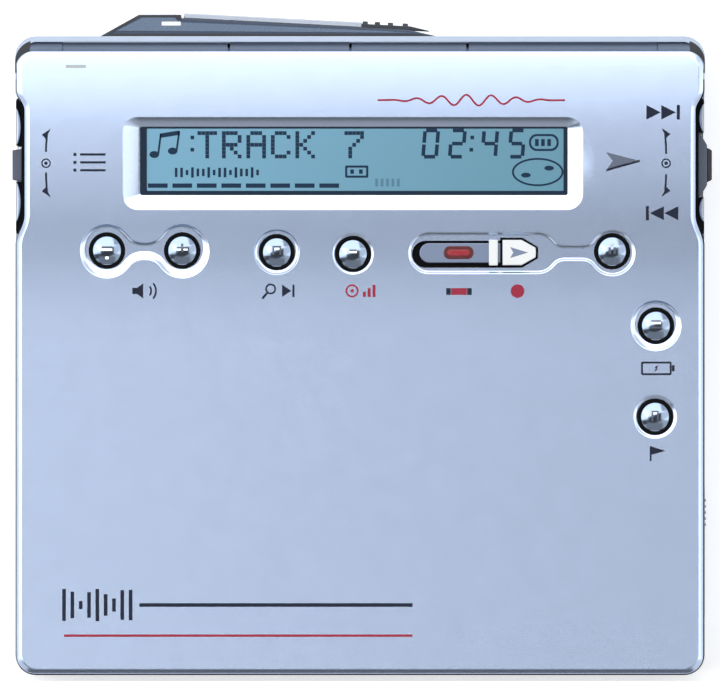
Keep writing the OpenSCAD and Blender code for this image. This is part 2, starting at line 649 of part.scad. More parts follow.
// Arrow outline of the slider's raised cap, grown by g
module rec_arrow(g) {
  polygon([[rec_x + 3.1 - g, rec_y - 1.45 - g], [rec_x + 5.2, rec_y - 1.45 - g], [rec_x + 6.9 + g, rec_y],
           [rec_x + 5.2, rec_y + 1.45 + g], [rec_x + 3.1 - g, rec_y + 1.45 + g]]);
}
module rec_lens() {
  x0 = rec_x - rec_l / 2;
  color([0.85, 0.1, 0.1]) box(x0 + 3.95, x0 + 7.25, rec_y - 0.6, rec_y + 0.6, body_h - 0.6, body_h - 0.1);
}
module rec_cap() {
  color([0.9, 0.92, 0.95]) translate([0, 0, body_h - 0.6]) linear_extrude(0.85) rec_arrow(0);
}

module open_bar() {
  color([0.78, 0.82, 0.87]) guard_frame() union() {
    translate([0.2, 0.03, 5.2]) cube([20.4, 0.57, 5.8]);
    translate([1.6, -0.55, 7.6]) cube([9.8, 0.6, 1]);
    translate([1.6, -1.2, 6.8]) cube([9.8, 0.65, 2.6]);
  }
}
module open_grip() {
  color([0.2, 0.24, 0.3]) guard_frame() union() {
    translate([20.6, 0.03, 5.2]) cube([5.6, 0.42, 5.8]);
    for (x = [0, 1.4, 2.9, 4.6]) translate([20.7 + x, 0.4, 5.6]) cube([0.6, 0.35, 5]);
    translate([26.2, 0.03, 5.2]) linear_extrude(5.8) polygon([[0, 0], [2.2, 0], [0, 0.42]]);
  }
}

module latch_bars() {
  color("lightgray") for (s = [-1, 1]) mirror([s < 0 ? 1 : 0, 0, 0]) {
    box(hw - 5.85, hw - 1.45, -1, 8, deck_top + 0.05, deck_top + 0.4);
    box(hw - 2.35, hw - 1.45, 0.4, 3, deck_top + 0.3, 9.8);
    box(hw - 2.35, hw - 1.45, 0, 3, 9.3, 9.8);
  }
}

// Block under a lever that slides inward when the lever is pressed
module carrier(s) {
  color([0.3, 0.31, 0.34]) mirror([s < 0 ? 1 : 0, 0, 0]) union() {
    box(lever_x - 2.5, lever_x + 2.1, lev_y - 2.8, lev_y + 2.8, board_top + 0.1, lever_z - 0.1);
    rod_z(lever_x, lev_y, lever_z - 0.2, lever_z + 2.9, 0.7);
  }
}
// Lever from its pivot out to the knob: hin and hout are the knob's half lengths
module lever(s, hin, hout, x1) {
  mirror([s < 0 ? 1 : 0, 0, 0]) difference() {
    union() {
      rod_z(lever_x, lev_y, lever_z, lever_z + 2.7, 1.6);
      box(lever_x, hw - 1.35, lev_y - 1.1, lev_y + 1.1, lever_z, lever_z + 2.7);
      box(hw - 2.1, hw - 1.35, lev_y - 1.5, lev_y + 1.5, lever_z, 9.8);
      translate([0, 0, 7]) linear_extrude(belt_top - 0.1 - 7)
        polygon([[hw - 2.1, lev_y - 1.5], [hw - 0.65, lev_y - hin], [x1, lev_y - hout],
                 [x1, lev_y + hout], [hw - 0.65, lev_y + hin], [hw - 2.1, lev_y + 1.5]]);
    }
    rod_z(lever_x, lev_y, 0, 8, 0.73);
  }
}
module jog_carrier() { carrier(-1); }
module jog_lever() { color([0.28, 0.31, 0.36]) lever(-1, jog_half, jog_half - 0.15, hw + 0.35); }
module ctrl_carrier() { carrier(1); }
module ctrl_lever() { color([0.6, 0.64, 0.7]) lever(1, ctrl_half, ctrl_half - 1.6, hw + 0.3); }
module ctrl_cap() {
  color([0.18, 0.2, 0.24]) translate([0, 0, 7.6]) linear_extrude(belt_top - 0.3 - 7.6)
    polygon([[hw + 0.3, lev_y - 2], [hw + 0.85, lev_y - 1.7], [hw + 0.85, lev_y + 1.7], [hw + 0.3, lev_y + 2]]);
}

module battery_door() {
  color([0.68, 0.72, 0.78]) union() {
    rod_z(door_x, door_y0, floor_t + 0.1, door_top - 0.1, 0.7);
    rod_z(door_x, door_y0, door_top - 0.2, door_top + 0.8, 0.35);
    box(hw - 1.15, hw, door_y0, door_y1, floor_t + 0.1, door_top - 0.1);
    box(hw - 1.65, hw - 1.1, cell_y - 2, cell_y + 2, cell_z + 2, cell_z + 4);
    box(hw - 0.1, hw + 0.12, door_y0 + 2.3, door_y1 - 1, 2, door_top - 1);
    for (i = [0:4]) box(hw, hw + 0.3, door_y1 - 5.5 + i * 0.7, door_y1 - 5.2 + i * 0.7, 2.6, door_top - 1.6);
  }
}

module hold_switch() {
  color([0.3, 0.33, 0.38]) union() {
    box(hw - 1.5, hw - wall - 0.05, 3.2, 8.6, 3.8, 6.6);
    box(hw - 1.4, hw - 0.05, 4.1, 7.7, 4.35, 6.05);
  }
}

module turntable() {
  color([0.5, 0.52, 0.55]) union() {
    rod_z(0, spindle_y, board_top + 0.6, deck_z + 0.8, 1);
    rod_z(0, spindle_y, board_top + 3.4, deck_z - 0.25, 9);
    rod_z(0, spindle_y, deck_z + 0.1, deck_top + 0.55, 4);
    translate([0, spindle_y, deck_top + 0.5]) cylinder(h = 1.5, r1 = 2.6, r2 = 1.6);
  }
}

module pickup_sled() {
  color([0.35, 0.37, 0.4]) translate([sled_in, spindle_y, 0]) difference() {
    union() {
      box(-4.5, 4.5, -rail_dy - 1.1, rail_dy + 1.2, rail_z - 0.9, rail_z + 1.2);
      box(-1.2, 1.2, rail_dy + 1.1, screw_dy - 0.75, rail_z - 0.5, rail_z + 0.5);
      rod_z(0, 0, rail_z + 1.1, deck_z - 0.1, 2.4);
      box(-3.2, 3.2, -4.2, 4.2, rail_z + 1.1, deck_z - 0.3);
    }
    for (s = [-1, 1]) rod_x(-5, 5, s * rail_dy, rail_z, rail_r + 0.04);
  }
}
module objective_lens() {
  color([0.4, 0.55, 0.75]) translate([sled_in, spindle_y, deck_z - 0.1]) union() {
    cylinder(h = 0.7, r = 1.6);
    translate([0, 0, 0.6]) cylinder(h = 0.5, r1 = 1.3, r2 = 0.9);
  }
}

module leadscrew() {
  color("silver") union() {
    rod_x(9, sled_in + sled_travel + 6, spindle_y + screw_dy, rail_z, 0.4);
    rod_x(sled_in - 4.4, sled_in + sled_travel + 4.8, spindle_y + screw_dy, rail_z, 0.65);
    rod_x(9.2, 10, spindle_y + screw_dy, rail_z, 1.8);
  }
}

bottom_cover();
side_belt();
hinge_bracket();
hinge_pin();
rear_guard();
bezel_left();
bezel_right();
main_board();
board_chips();
mechanism_deck();
screws();
spindle_motor();
pickup_rails();
sled_motor();
battery_tunnel();
battery_cell();
headphone_jack();
line_in_jack();
mic_jack();
dc_socket();
lid_shell();
lcd_window();
lcd_module();
button_board();
lid_liner();
lid_screws();
lid_leaf();
lid_claws();
holder_top();
holder_left();
holder_right();
head_arm();
key_vol_down();
key_vol_up();
key_search();
key_mode();
key_pause();
key_stop();
key_mark();
rec_slider();
rec_lens();
rec_cap();
open_bar();
open_grip();
latch_bars();
jog_carrier();
jog_lever();
ctrl_carrier();
ctrl_lever();
ctrl_cap();
battery_door();
hold_switch();
turntable();
pickup_sled();
objective_lens();
leadscrew();
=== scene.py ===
# %% [markdown]
# A pocket recorder seen from straight above, on a white table.
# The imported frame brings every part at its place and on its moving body. This script gives those parts their
# finishes, and rebuilds the surfaces that the eye meets first: the lid with its dishes and window, the keys, the
# display and the printed symbols. Lengths below are written in millimetres and become metres in one place.

# %% Load the frame
import json

import bmesh
import bpy
import numpy as np
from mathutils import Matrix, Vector
from mathutils.geometry import delaunay_2d_cdt

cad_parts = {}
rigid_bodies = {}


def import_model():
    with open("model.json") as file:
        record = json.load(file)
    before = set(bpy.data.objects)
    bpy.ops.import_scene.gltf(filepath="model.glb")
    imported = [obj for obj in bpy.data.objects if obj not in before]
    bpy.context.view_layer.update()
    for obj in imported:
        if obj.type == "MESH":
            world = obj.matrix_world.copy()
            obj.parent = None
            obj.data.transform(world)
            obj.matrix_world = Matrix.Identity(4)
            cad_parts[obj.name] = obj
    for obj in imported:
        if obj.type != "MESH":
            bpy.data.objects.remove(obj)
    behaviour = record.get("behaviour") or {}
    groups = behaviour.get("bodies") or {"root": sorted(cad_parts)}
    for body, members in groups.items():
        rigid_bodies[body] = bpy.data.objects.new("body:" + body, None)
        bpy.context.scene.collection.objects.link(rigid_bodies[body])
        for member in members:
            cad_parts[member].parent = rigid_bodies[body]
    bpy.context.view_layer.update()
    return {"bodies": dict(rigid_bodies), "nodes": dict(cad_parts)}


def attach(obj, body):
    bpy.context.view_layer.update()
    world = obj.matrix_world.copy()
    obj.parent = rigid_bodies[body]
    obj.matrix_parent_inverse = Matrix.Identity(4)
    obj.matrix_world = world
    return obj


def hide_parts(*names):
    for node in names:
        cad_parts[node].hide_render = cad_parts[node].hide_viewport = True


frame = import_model()
MM = 0.001

# %% [markdown]
# The camera. The photograph looks straight down from far away, so the sides hardly show. Here it stands two metres
# over the lid with a long lens. The picture is 82.2 mm wide at the lid, which sets the focal length.

# %% Camera over the lid
SENSOR, AWAY, WIDE, MIDDLE_Y, LID_TOP = 36, 2000, 82.21, 2.308, 17.1


def placed(name, data):
    """New object in the scene that shows this data."""
    new = bpy.data.objects.new(name, data)
    bpy.context.collection.objects.link(new)
    return new


camera = placed("camera", bpy.data.cameras.new("camera"))
camera.data.sensor_width = SENSOR
camera.data.lens = SENSOR * AWAY / WIDE
camera.data.clip_end = 20
camera.location = (0, MIDDLE_Y * MM, (LID_TOP + AWAY) * MM)
bpy.context.scene.camera = camera
bpy.context.scene.view_settings.view_transform = "Standard"
print("lens", round(camera.data.lens, 1), "mm")

# %% [markdown]
# Every new surface here is a set of patches. A patch is a grid of points, with rings along it, or a flat field cut
# into triangles. Patches share their edges, so they can be welded into one closed skin. Where two patches meet, the
# edge stays crisp, and inside a patch the shading is smooth.

# %% Patches and welding
def rings(loops, closed=True):
    """Points P[i, j]: i counts the rings and j runs round each. Every face joins two neighbours on one ring with the
    same two on the next. Rings that run anticlockwise and climb face outwards."""
    loops = np.asarray(loops)
    m, n = loops.shape[:2]
    i = np.arange(m * n).reshape(m, n)
    a, b = (i, np.roll(i, -1, 1)) if closed else (i[:, :-1], i[:, 1:])
    return loops.reshape(-1, 3), np.stack([a[:-1], b[:-1], b[1:], a[1:]], -1).reshape(-1, 4)


def lift(xy, z):
    """Plane points get a height: a number, or an array of one height a point."""
    return np.column_stack([xy, np.broadcast_to(z, len(xy))])


def weld(name, patches, body, finishes):
    """Patches are (points, faces, finish number). Points closer than a ten-thousandth of a millimetre become one.
    A four-sided face that shrank to three corners becomes a triangle. Edges between two patches, and those that turn
    by more than 40 degrees, are sharp."""
    start = np.cumsum([0] + [len(p[0]) for p in patches])
    points = np.concatenate([p[0] for p in patches])
    _, first, back = np.unique(np.round(points, 4), axis=0, return_index=True, return_inverse=True)
    quads, tris = [np.zeros((0, 6), int)], []
    for k, (_, f, kind) in enumerate(patches):
        f = back.reshape(-1)[np.asarray(f) + start[k]]
        tag = lambda rows: np.column_stack([rows, np.full((len(rows), 2), (k, kind))])
        if f.shape[1] == 4:
            turn = [np.roll(f, -s, 1) for s in range(4)]
            pinch = np.stack([t[:, 0] == t[:, 1] for t in turn], 1)
            quads.append(tag(f[~pinch.any(1)]))
            once = pinch.sum(1) == 1
            f = np.concatenate([turn[s][once & pinch[:, s]][:, [0, 2, 3]] for s in range(4)])
        tris.append(tag(f[(f[:, 0] != f[:, 1]) & (f[:, 1] != f[:, 2]) & (f[:, 2] != f[:, 0])]))
    q, t = np.concatenate(quads), np.concatenate(tris)
    mesh = bpy.data.meshes.new(name)
    mesh.from_pydata((points[first] * MM).tolist(), [], q[:, :4].tolist() + t[:, :3].tolist())
    owner, kinds = np.r_[q[:, 4], t[:, 3]], np.r_[q[:, 5], t[:, 4]].astype(np.int32)
    for m in finishes:
        mesh.materials.append(m)
    mesh.polygons.foreach_set("material_index", kinds)
    mesh.polygons.foreach_set("use_smooth", np.ones(len(kinds), bool))
    edge_of = np.zeros(len(mesh.loops), np.int32)
    mesh.loops.foreach_get("edge_index", edge_of)
    owner = np.repeat(owner, np.r_[np.full(len(q), 4), np.full(len(t), 3)])
    low, high = np.full(len(mesh.edges), len(patches)), np.full(len(mesh.edges), -1)
    np.minimum.at(low, edge_of, owner)
    np.maximum.at(high, edge_of, owner)
    mesh.set_sharp_from_angle(angle=np.radians(40))
    sharp = mesh.attributes.get("sharp_edge") or mesh.attributes.new("sharp_edge", "BOOLEAN", "EDGE")
    steep = np.zeros(len(mesh.edges), bool)
    sharp.data.foreach_get("value", steep)
    sharp.data.foreach_set("value", steep | (low != high))
    mesh.validate()
    piece = placed(name, mesh)
    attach(piece, body)
    print(name, len(mesh.vertices), "points", len(mesh.polygons), "faces")
    return piece


def within(points, loop):
    """True for the points inside a closed outline: a ray to the right crosses it an odd number of times."""
    a, b = loop, np.roll(loop, -1, 0)
    x, y = points[:, :1], points[:, 1:]
    rise = (a[:, 1] > y) != (b[:, 1] > y)
    with np.errstate(divide="ignore", invalid="ignore"):
        cut = a[:, 0] + (y - a[:, 1]) * (b[:, 0] - a[:, 0]) / (b[:, 1] - a[:, 1])
    return (rise & (x < cut)).sum(1) % 2 == 1


def field(outer, holes=(), height=0.0, up=True, grid=None):
    """Flat field between an outline and its holes, cut into triangles. height is a number or a function of the plane
    points, and grid gives extra points inside, so that a curved field bends between its edges."""
    inside = lambda p: within(p, outer) & (sum(within(p, h) for h in holes) == 0)
    loops = [outer, *holes]
    pts = np.concatenate(loops)
    ends = np.cumsum([0] + [len(l) for l in loops])
    runs = [np.arange(a, b) for a, b in zip(ends, ends[1:])]
    edges = np.concatenate([np.stack([run, np.roll(run, -1)], 1) for run in runs])
    if grid is not None:
        grid = grid[inside(grid)]
        near = np.min(np.linalg.norm(grid[:, None] - pts[None], axis=2), 1)
        pts = np.concatenate([pts, grid[near > 0.35]])
    out = delaunay_2d_cdt(pts.tolist(), edges.tolist(), [], 0, 1e-6, False)
    xy = np.array([tuple(v) for v in out[0]])
    tri = np.array([f for f in out[2] if len(f) == 3])
    tri = tri[inside(xy[tri].mean(1))]
    return lift(xy, height(xy) if callable(height) else height), tri if up else tri[:, ::-1]


# %% [markdown]
# Finishes. Each one starts from the real material and how its surface was made. Colours are written as the usual
# hex codes and turned to linear light by one function. One small function adds a shader node with its settings.
# Patterns are as wide as the real grain where the picture can show it, which is from about a tenth of a millimetre.

# %% Colour and node helpers
def hexa(code):
    """sRGB hex to linear: a channel c becomes c / 12.92 below 0.04045, and ((c + 0.055) / 1.055) ** 2.4 above."""
    c = np.array([int(code[i:i + 2], 16) for i in (0, 2, 4)]) / 255
    return (*np.where(c <= 0.04045, c / 12.92, ((c + 0.055) / 1.055) ** 2.4), 1.0)


def node(tree, kind, links=(), **values):
    """Adds a shader node. A value goes to the setting of that name, or else to the input whose name it spells. A link
    comes from a socket, or from the first output of a node."""
    n = tree.nodes.new("ShaderNode" + kind)
    for key, v in values.items():
        if hasattr(n, key):
            setattr(n, key, v)
        else:
            n.inputs[key.replace("_", " ")].default_value = v
    for name, source in links:
        tree.links.new(getattr(source, "outputs", [source])[0], n.inputs[name])
    return n


def blank(name):
    """New material and its empty node tree."""
    m = bpy.data.materials.new(name)
    m.use_nodes = True
    m.node_tree.nodes.clear()
    return m, m.node_tree


def finish(name, colour, roughness, metallic=0.0, grain=0.2, tint=0.03, spread=0.05, bump=0.0, stretch=(1, 1, 1),
           painted_light_fade=None, **more):
    """A solid finish with the small variation that a real surface has: the colour moves by tint and the roughness by
    spread over spots about grain millimetres wide, and the same spots stand bump millimetres proud. fade is a second
    colour with the x range in millimetres over which it takes over."""
    m, t = blank(name)
    place = node(t, "TexCoord").outputs["Object"]
    turned = node(t, "Mapping", [("Vector", place)], Scale=stretch)
    fine = node(t, "TexNoise", [("Vector", turned)], Scale=1 / (grain * MM), Detail=3.0, Roughness=0.6)
    wide = node(t, "TexNoise", [("Vector", place)], Scale=1 / (grain * 14 * MM), Detail=2.0)
    both = node(t, "Math", [(0, fine), (1, wide)], operation="ADD")
    shade = node(t, "MapRange", [("Value", both)], From_Min=0.7, From_Max=1.3)
    base = node(t, "Mix", [("Factor", shade)], data_type="RGBA")
    for i, k in ((6, 1 - tint), (7, 1 + tint)):
        base.inputs[i].default_value = (*np.minimum(1, np.array(hexa(colour)[:3]) * k), 1)
    # A fade paints light or shade across x: a lighter or darker colour takes over
    if painted_light_fade:
        x = node(t, "SeparateXYZ", [("Vector", place)])
        share = node(t, "MapRange", [("Value", x)], From_Min=painted_light_fade[1] * MM, From_Max=painted_light_fade[2] * MM)
        base = node(t, "Mix", [("Factor", share), (6, base.outputs[2])], data_type="RGBA")
        base.inputs[7].default_value = hexa(painted_light_fade[0])
    gloss = node(t, "MapRange", [("Value", fine)], From_Min=0.3, From_Max=0.7,
                 To_Min=max(0.02, roughness - spread), To_Max=roughness + spread)
    links = [("Base Color", base.outputs[2]), ("Roughness", gloss)]
    if bump:
        links.append(("Normal", node(t, "Bump", [("Height", fine)], Strength=1.0, Distance=bump * MM)))
    shader = node(t, "BsdfPrincipled", links, Metallic=metallic, **more)
    node(t, "OutputMaterial", [("Surface", shader)])
    return m


# Aluminium, bead blasted, then anodised a cool silver: fine even grain and a soft broad sheen
lid_metal = finish("anodised aluminium", "b4c4e0", 0.24, 1.0, grain=0.16, tint=0.02, spread=0.02, bump=0.0008)
# The same metal turned and polished in the dishes: crisper light on their rims
dish_metal = finish("polished aluminium", "c0cfe8", 0.22, 1.0, grain=0.3, tint=0.01, spread=0.03)
# Belt and door: magnesium casting in silver lacquer, duller than the lid. Cover and slide bar: satin aluminium
belt_paint = finish("silver lacquer", "aab6c8", 0.38, 0.85, grain=0.14, bump=0.001)
cover_metal = finish("satin pressed aluminium", "a3adbb", 0.45, 0.9, bump=0.001)
bar_metal = finish("brushed aluminium bar", "a3abb8", 0.3, 1.0, grain=0.12, tint=0.05, stretch=(0.06, 1, 1), bump=0.001)
# Side trims: plastic plated with bright chrome. Key caps: the same over a satin mould, which softens reflections
chrome = finish("bright chrome plating", "d9dee6", 0.07, 1.0, grain=0.6, tint=0.01, spread=0.02)
key_chrome = finish("satin chrome plating", "8c9cb2", 0.15, 1.0, grain=0.4, tint=0.02, spread=0.03)
# Matt black plastic for gaps, hole linings and seams: painted shade, so that a gap reads as the dark line its shadow
# draws
gap_shade_black = finish("matt black plastic", "050608", 0.8, tint=0.1, Specular_IOR_Level=0.12)
# Rear guard and its grip: dark glass-filled plastic with a faint pearl
guard_plastic = finish("blue-grey moulded plastic", "37445a", 0.34, 0.25, tint=0.06, bump=0.001)
grip_plastic = finish("dark ribbed plastic", "262d38", 0.45, tint=0.08, bump=0.002)
# Levers: metallic lacquer, plain dark plastic, and a rubbery black cap that hides finger marks
lever_grey = finish("grey metallic lacquer", "545b6a", 0.36, 0.5, grain=0.15)
lever_dark = finish("dark grey plastic", "555a69", 0.45, 0.2, tint=0.06, bump=0.002)
cap_dark = finish("black rubbered plastic", "2b2d31", 0.6, grain=0.18, tint=0.08, bump=0.003)
# Steel: nickel plated sheet with rolling lines, a lacquered hinge, ground rods, black screws and drawn cans
steel = finish("nickel plated sheet steel", "c4c7ca", 0.45, 1.0, grain=0.12, tint=0.06, stretch=(0.08, 1, 1),
               bump=0.001)
hinge_steel = finish("lacquered hinge steel", "657285", 0.6, 0.3, grain=0.12, tint=0.05, stretch=(0.1, 1, 1))
ground_steel = finish("ground steel rod", "c4c6c9", 0.16, 1.0, grain=0.1, stretch=(0.05, 1, 1))
screw_steel = finish("black zinc screw", "55585e", 0.34, 1.0, grain=0.1, tint=0.08)
motor_steel = finish("drawn motor can", "9a9da2", 0.28, 1.0, tint=0.05)
# Inside: dull moulds and film that stay in the background, and a silver sleeve round the cell
chip_black = finish("moulded epoxy package", "1c1d20", 0.55, grain=0.12, tint=0.12, bump=0.003)
cell_wrap = finish("printed cell sleeve", "aab0ba", 0.33, 0.6, grain=0.3)
socket_black = finish("black nylon socket", "15161a", 0.5, tint=0.1, bump=0.002)
liner_black = finish("black insulating film", "1f2127", 0.38, grain=0.4, tint=0.08)
sled_dark = finish("filled black casting", "33363c", 0.5, 0.1, tint=0.08, bump=0.003)
# Record slider: grey plating, a white pearl cap, and tinted acrylic whose clear coat gives it depth
slider_grey = finish("grey plated slider", "76829a", 0.34, 0.8, grain=0.3, tint=0.015, spread=0.01)
cap_white = finish("pearl white cap", "f2f5f7", 0.32, tint=0.01)
lens_red = finish("red tinted acrylic", "a8303c", 0.12, grain=0.5, tint=0.04, Coat_Weight=0.6, Coat_Roughness=0.05)
lens_rim = finish("dark red acrylic rim", "5c1018", 0.2, grain=0.5, tint=0.04)
# Objective: polished and coated, which tints its reflection blue
lens_blue = finish("coated objective lens", "31506e", 0.06, grain=0.5, tint=0.04, Coat_Weight=1.0, Coat_Roughness=0.03)
# Display: teal reflector under glass with matt navy segments. Its darker right side is painted shade, and the dark band
# round it is a painted shadow of the window's edge
lcd_teal = finish("teal display panel", "6ca5c2", 0.35, grain=0.6, tint=0.008, spread=0.01, painted_light_fade=("5a90a6", -20, 24),
                  Coat_Weight=0.6, Coat_Roughness=0.1)
lcd_navy = finish("navy display segment", "0c2b46", 0.5, tint=0.05, Specular_IOR_Level=0.2)
lcd_dim = finish("unlit display segment", "4a7890", 0.35, tint=0.05)
lcd_edge_shadow = finish("painted display edge shadow", "0a2238", 0.5, tint=0.08, Specular_IOR_Level=0.2)
print("finishes", len(bpy.data.materials))

# %% [markdown]
# The circuit boards carry copper tracks under green lacquer. The tracks are slanting bands whose place jumps from
# cell to cell of a 2.2 mm mosaic, lighter where the copper lies, which is what solder mask over copper looks like.

# %% Circuit board finish
def board_finish():
    """Green mask whose colour steps between bare laminate and covered copper over bands 3.2 mm apart."""
    m, t = blank("green solder mask over copper")
    place = node(t, "TexCoord").outputs["Object"]
    spots = node(t, "TexVoronoi", [("Vector", place)], distance="MANHATTAN", feature="F1", Scale=1 / (2.2 * MM))
    lane = node(t, "VectorMath", [(0, place), (1, spots.outputs["Color"])], operation="ADD")
    waves = node(t, "TexWave", [("Vector", lane)], Scale=1 / (3.2 * MM), Distortion=0.0,
                 bands_direction="DIAGONAL")
    step = node(t, "MapRange", [("Value", waves.outputs["Fac"])], From_Min=0.5, From_Max=0.62)
    base = node(t, "Mix", [("Factor", step)], data_type="RGBA")
    base.inputs[6].default_value, base.inputs[7].default_value = hexa("0d3b2a"), hexa("1f6a45")
    shader = node(t, "BsdfPrincipled", [("Base Color", base.outputs[2])], Roughness=0.35, Coat_Weight=0.5,
                  Coat_Roughness=0.2)
    node(t, "OutputMaterial", [("Surface", shader)])
    return m


board_green = board_finish()

# %% [markdown]
# Most inner parts have their final shape already, so they only take their finish, part by part.

# %% Finishes on the frame's own parts
DRESS = {
    steel: "battery_tunnel mechanism_deck holder_top holder_left holder_right latch_bars lid_claws head_arm",
    hinge_steel: "hinge_bracket lid_leaf hinge_pin", ground_steel: "pickup_rails leadscrew",
    board_green: "main_board button_board", chip_black: "board_chips lcd_module", screw_steel: "screws lid_screws",
    motor_steel: "spindle_motor sled_motor turntable", cell_wrap: "battery_cell", liner_black: "lid_liner",
    socket_black: "headphone_jack line_in_jack mic_jack dc_socket", sled_dark: "pickup_sled",
    lens_blue: "objective_lens", lever_dark: "jog_carrier ctrl_carrier jog_lever hold_switch",
    belt_paint: "side_belt battery_door", cover_metal: "bottom_cover", guard_plastic: "rear_guard",
    bar_metal: "open_bar", grip_plastic: "open_grip", chrome: "bezel_left bezel_right", lever_grey: "ctrl_lever",
    cap_dark: "ctrl_cap",
}
for look, names in DRESS.items():
    for name in names.split():
        for s in frame["nodes"][name].material_slots:
            s.material = look

# %% [markdown]
# Machined and moulded parts never have knife edges. A copy of a frame part is merged, its flat faces are joined, and
# a narrow bevel breaks its edges, so that each one catches a thin line of light as the real edge does.

# %% Parts with broken edges
def eased(name, width, segments=2, angle=30):
    """Copy of a frame part: doubles merged, flat faces dissolved, then every edge over the angle gets a round of the
    given width in millimetres."""
    source = frame["nodes"][name]
    mesh = source.data.copy()
    bm = bmesh.new()
    bm.from_mesh(mesh)
    bmesh.ops.remove_doubles(bm, verts=bm.verts, dist=2e-6)
    bmesh.ops.dissolve_limit(bm, angle_limit=0.01, verts=bm.verts, edges=bm.edges)
    for f in bm.faces:
        f.smooth = True
    bm.to_mesh(mesh)
    bm.free()
    mesh.set_sharp_from_angle(angle=np.radians(angle))
    mesh.materials.clear()
    for s in source.material_slots:
        mesh.materials.append(s.material)
    piece = placed(name + "_eased", mesh)
    bevel = piece.modifiers.new("broken edges", "BEVEL")
    bevel.width, bevel.segments, bevel.limit_method = width * MM, segments, "ANGLE"
    bevel.angle_limit, bevel.harden_normals = np.radians(angle), True
    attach(piece, next(b for b, o in frame["bodies"].items() if o == source.parent))
    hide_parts(name)
    return piece


EASED = {"side_belt": 0.14, "bottom_cover": 0.2, "battery_door": 0.08, "rear_guard": 0.18, "open_bar": 0.08,
         "open_grip": 0.07, "jog_lever": 0.12, "ctrl_lever": 0.12, "ctrl_cap": 0.1, "hold_switch": 0.06,
         "bezel_left": 0.05, "bezel_right": 0.05}
for name, width in EASED.items():
    eased(name, width)

# %% [markdown]
# The lid's top isn't quite flat. Light on it shows a shallow rise up to the display and a roll down to the hinge, so
# its height is a slope curve summed from front to rear. The side edges swing in beside the two levers.

# %% Lid outline and height
def ramp(a, b, y):
    """Smooth step: 3 t squared minus 2 t cubed, with t from 0 at a to 1 at b."""
    t = np.clip((y - a) / (b - a), 0, 1)
    return t * t * (3 - 2 * t)


def arc(cx, cy, r, a0, a1, n):
    """Points on a circle from angle a0 to a1, in degrees."""
    a = np.radians(np.linspace(a0, a1, n + 1))
    return np.column_stack([cx + r * np.cos(a), cy + r * np.sin(a)])


# Slope of the top in degrees, upwards to the rear, at places from the front edge to the hinge
SLOPE_Y = [-40, -32, -27, -21.6, -16, -10, -4.5, 3.5, 5.8, 9.8, 12, 15.5, 18.4, 22.9, 26.9, 29.2, 30.3, 31.5, 32.6,
           34, 34.7, 36]
SLOPE = [-0.5, -0.4, -0.2, -0.08, 0.05, 0.17, 0.3, 0.55, 0.7, 1.15, 1.6, 1.85, 1.5, 1.0, 0.6, 0.0, -0.3, -0.55, -0.8,
         -1.2, -2, -4]
_y = np.linspace(-40, 36, 1521)
_z = np.cumsum(np.tan(np.radians(np.interp(_y, SLOPE_Y, SLOPE)))) * (_y[1] - _y[0])
_z += LID_TOP - _z.max()
LID_HALF, NOTCH = 39.2, 0.9


def top(y):
    """Height of the lid at y: the sum of the slopes from the front, with its highest point at LID_TOP."""
    return np.interp(y, _y, _z)


def notch(y):
    """How far the lid's side lies in at y: a smooth step in behind the keys, and out again before the hinge."""
    return NOTCH * (ramp(13.2, 16.6, y) - ramp(28.6, 31, y))


def lid_outline(d):
    """Lid outline drawn in by d: straight front and rear, round corners, and sides that step in beside the levers."""
    w, y0, y1, r0, r1 = LID_HALF - d, -35.75 + d, 35.35 - d, 2.1 - 0.6 * d, 1.9 - 0.6 * d
    ys = np.r_[np.linspace(-32, 0, 9), np.linspace(1, 12.5, 12), np.linspace(13.2, 16.6, 15),
               np.linspace(17.4, 27.8, 12), np.linspace(28.6, 31, 15), 31.6, 32.2]
    right = np.column_stack([LID_HALF - notch(ys) - d, ys])
    return np.concatenate([arc(w - r0, y0 + r0, r0, -90, 0, 10), right, arc(w - r1, y1 - r1, r1, 0, 90, 14),
                           arc(-w + r1, y1 - r1, r1, 90, 180, 14), right[::-1] * (-1, 1),
                           arc(-w + r0, y0 + r0, r0, 180, 270, 10)])


print("lid height at the front", round(float(top(-20)), 3), "keys", round(float(top(12.5)), 3))

# %% [markdown]
# The dishes. Each key sits in a shallow turned dish, the two volume keys share one dumbbell, and the record slider's
# well runs on through a narrow neck into the dish of the next key. Circles, necks and the rounds between them are all
# arcs about fixed centres, so drawing the outline in by d only changes the radii, and walls follow by themselves.

# %% Outlines of the dishes
def circle(x, y, r, n=72):
    """Anticlockwise circle."""
    return arc(x, y, r, 0, 360, n)[:-1]


def dumbbell(ax, bx, y, ra, rb, neck, round_r, d, stretch=0.0):
    """Two circles of radius ra and rb joined by a neck, drawn in by d. A round of radius round_r touches a circle where
    the line between their centres meets both. stretch moves the left end further left, which makes it a slot."""
    ra, rb, neck, f = ra - d, rb - d, neck - d, round_r + d
    fa, fb = [np.sqrt((r + f) ** 2 - (neck + f) ** 2) for r in (ra, rb)]
    ta, tb = [np.degrees(np.arctan2(neck + f, s)) for s in (fa, fb)]
    return np.concatenate([
        arc(bx, y, rb, tb - 180, 180 - tb, 60), arc(bx - fb, y + neck + f, f, -tb, -90, 14)[1:],
        arc(ax + fa, y + neck + f, f, -90, ta - 180, 14), arc(ax, y, ra, ta, 90, 12)[1:],
        arc(ax - stretch, y, ra, 90, 270, 36), arc(ax, y, ra, 270, 360 - ta, 12),
        arc(ax + fa, y - neck - f, f, 180 - ta, 90, 14)[1:], arc(bx - fb, y - neck - f, f, 90, tb, 14)[:-1]])


def rounded(x0, x1, y0, y1, r, n=8):
    """Rectangle with round corners, anticlockwise."""
    corners = (x1 - r, y0 + r), (x1 - r, y1 - r), (x0 + r, y1 - r), (x0 + r, y0 + r)
    return np.concatenate([arc(*c, r, 90 * k - 90, 90 * k, n) for k, c in enumerate(corners)])


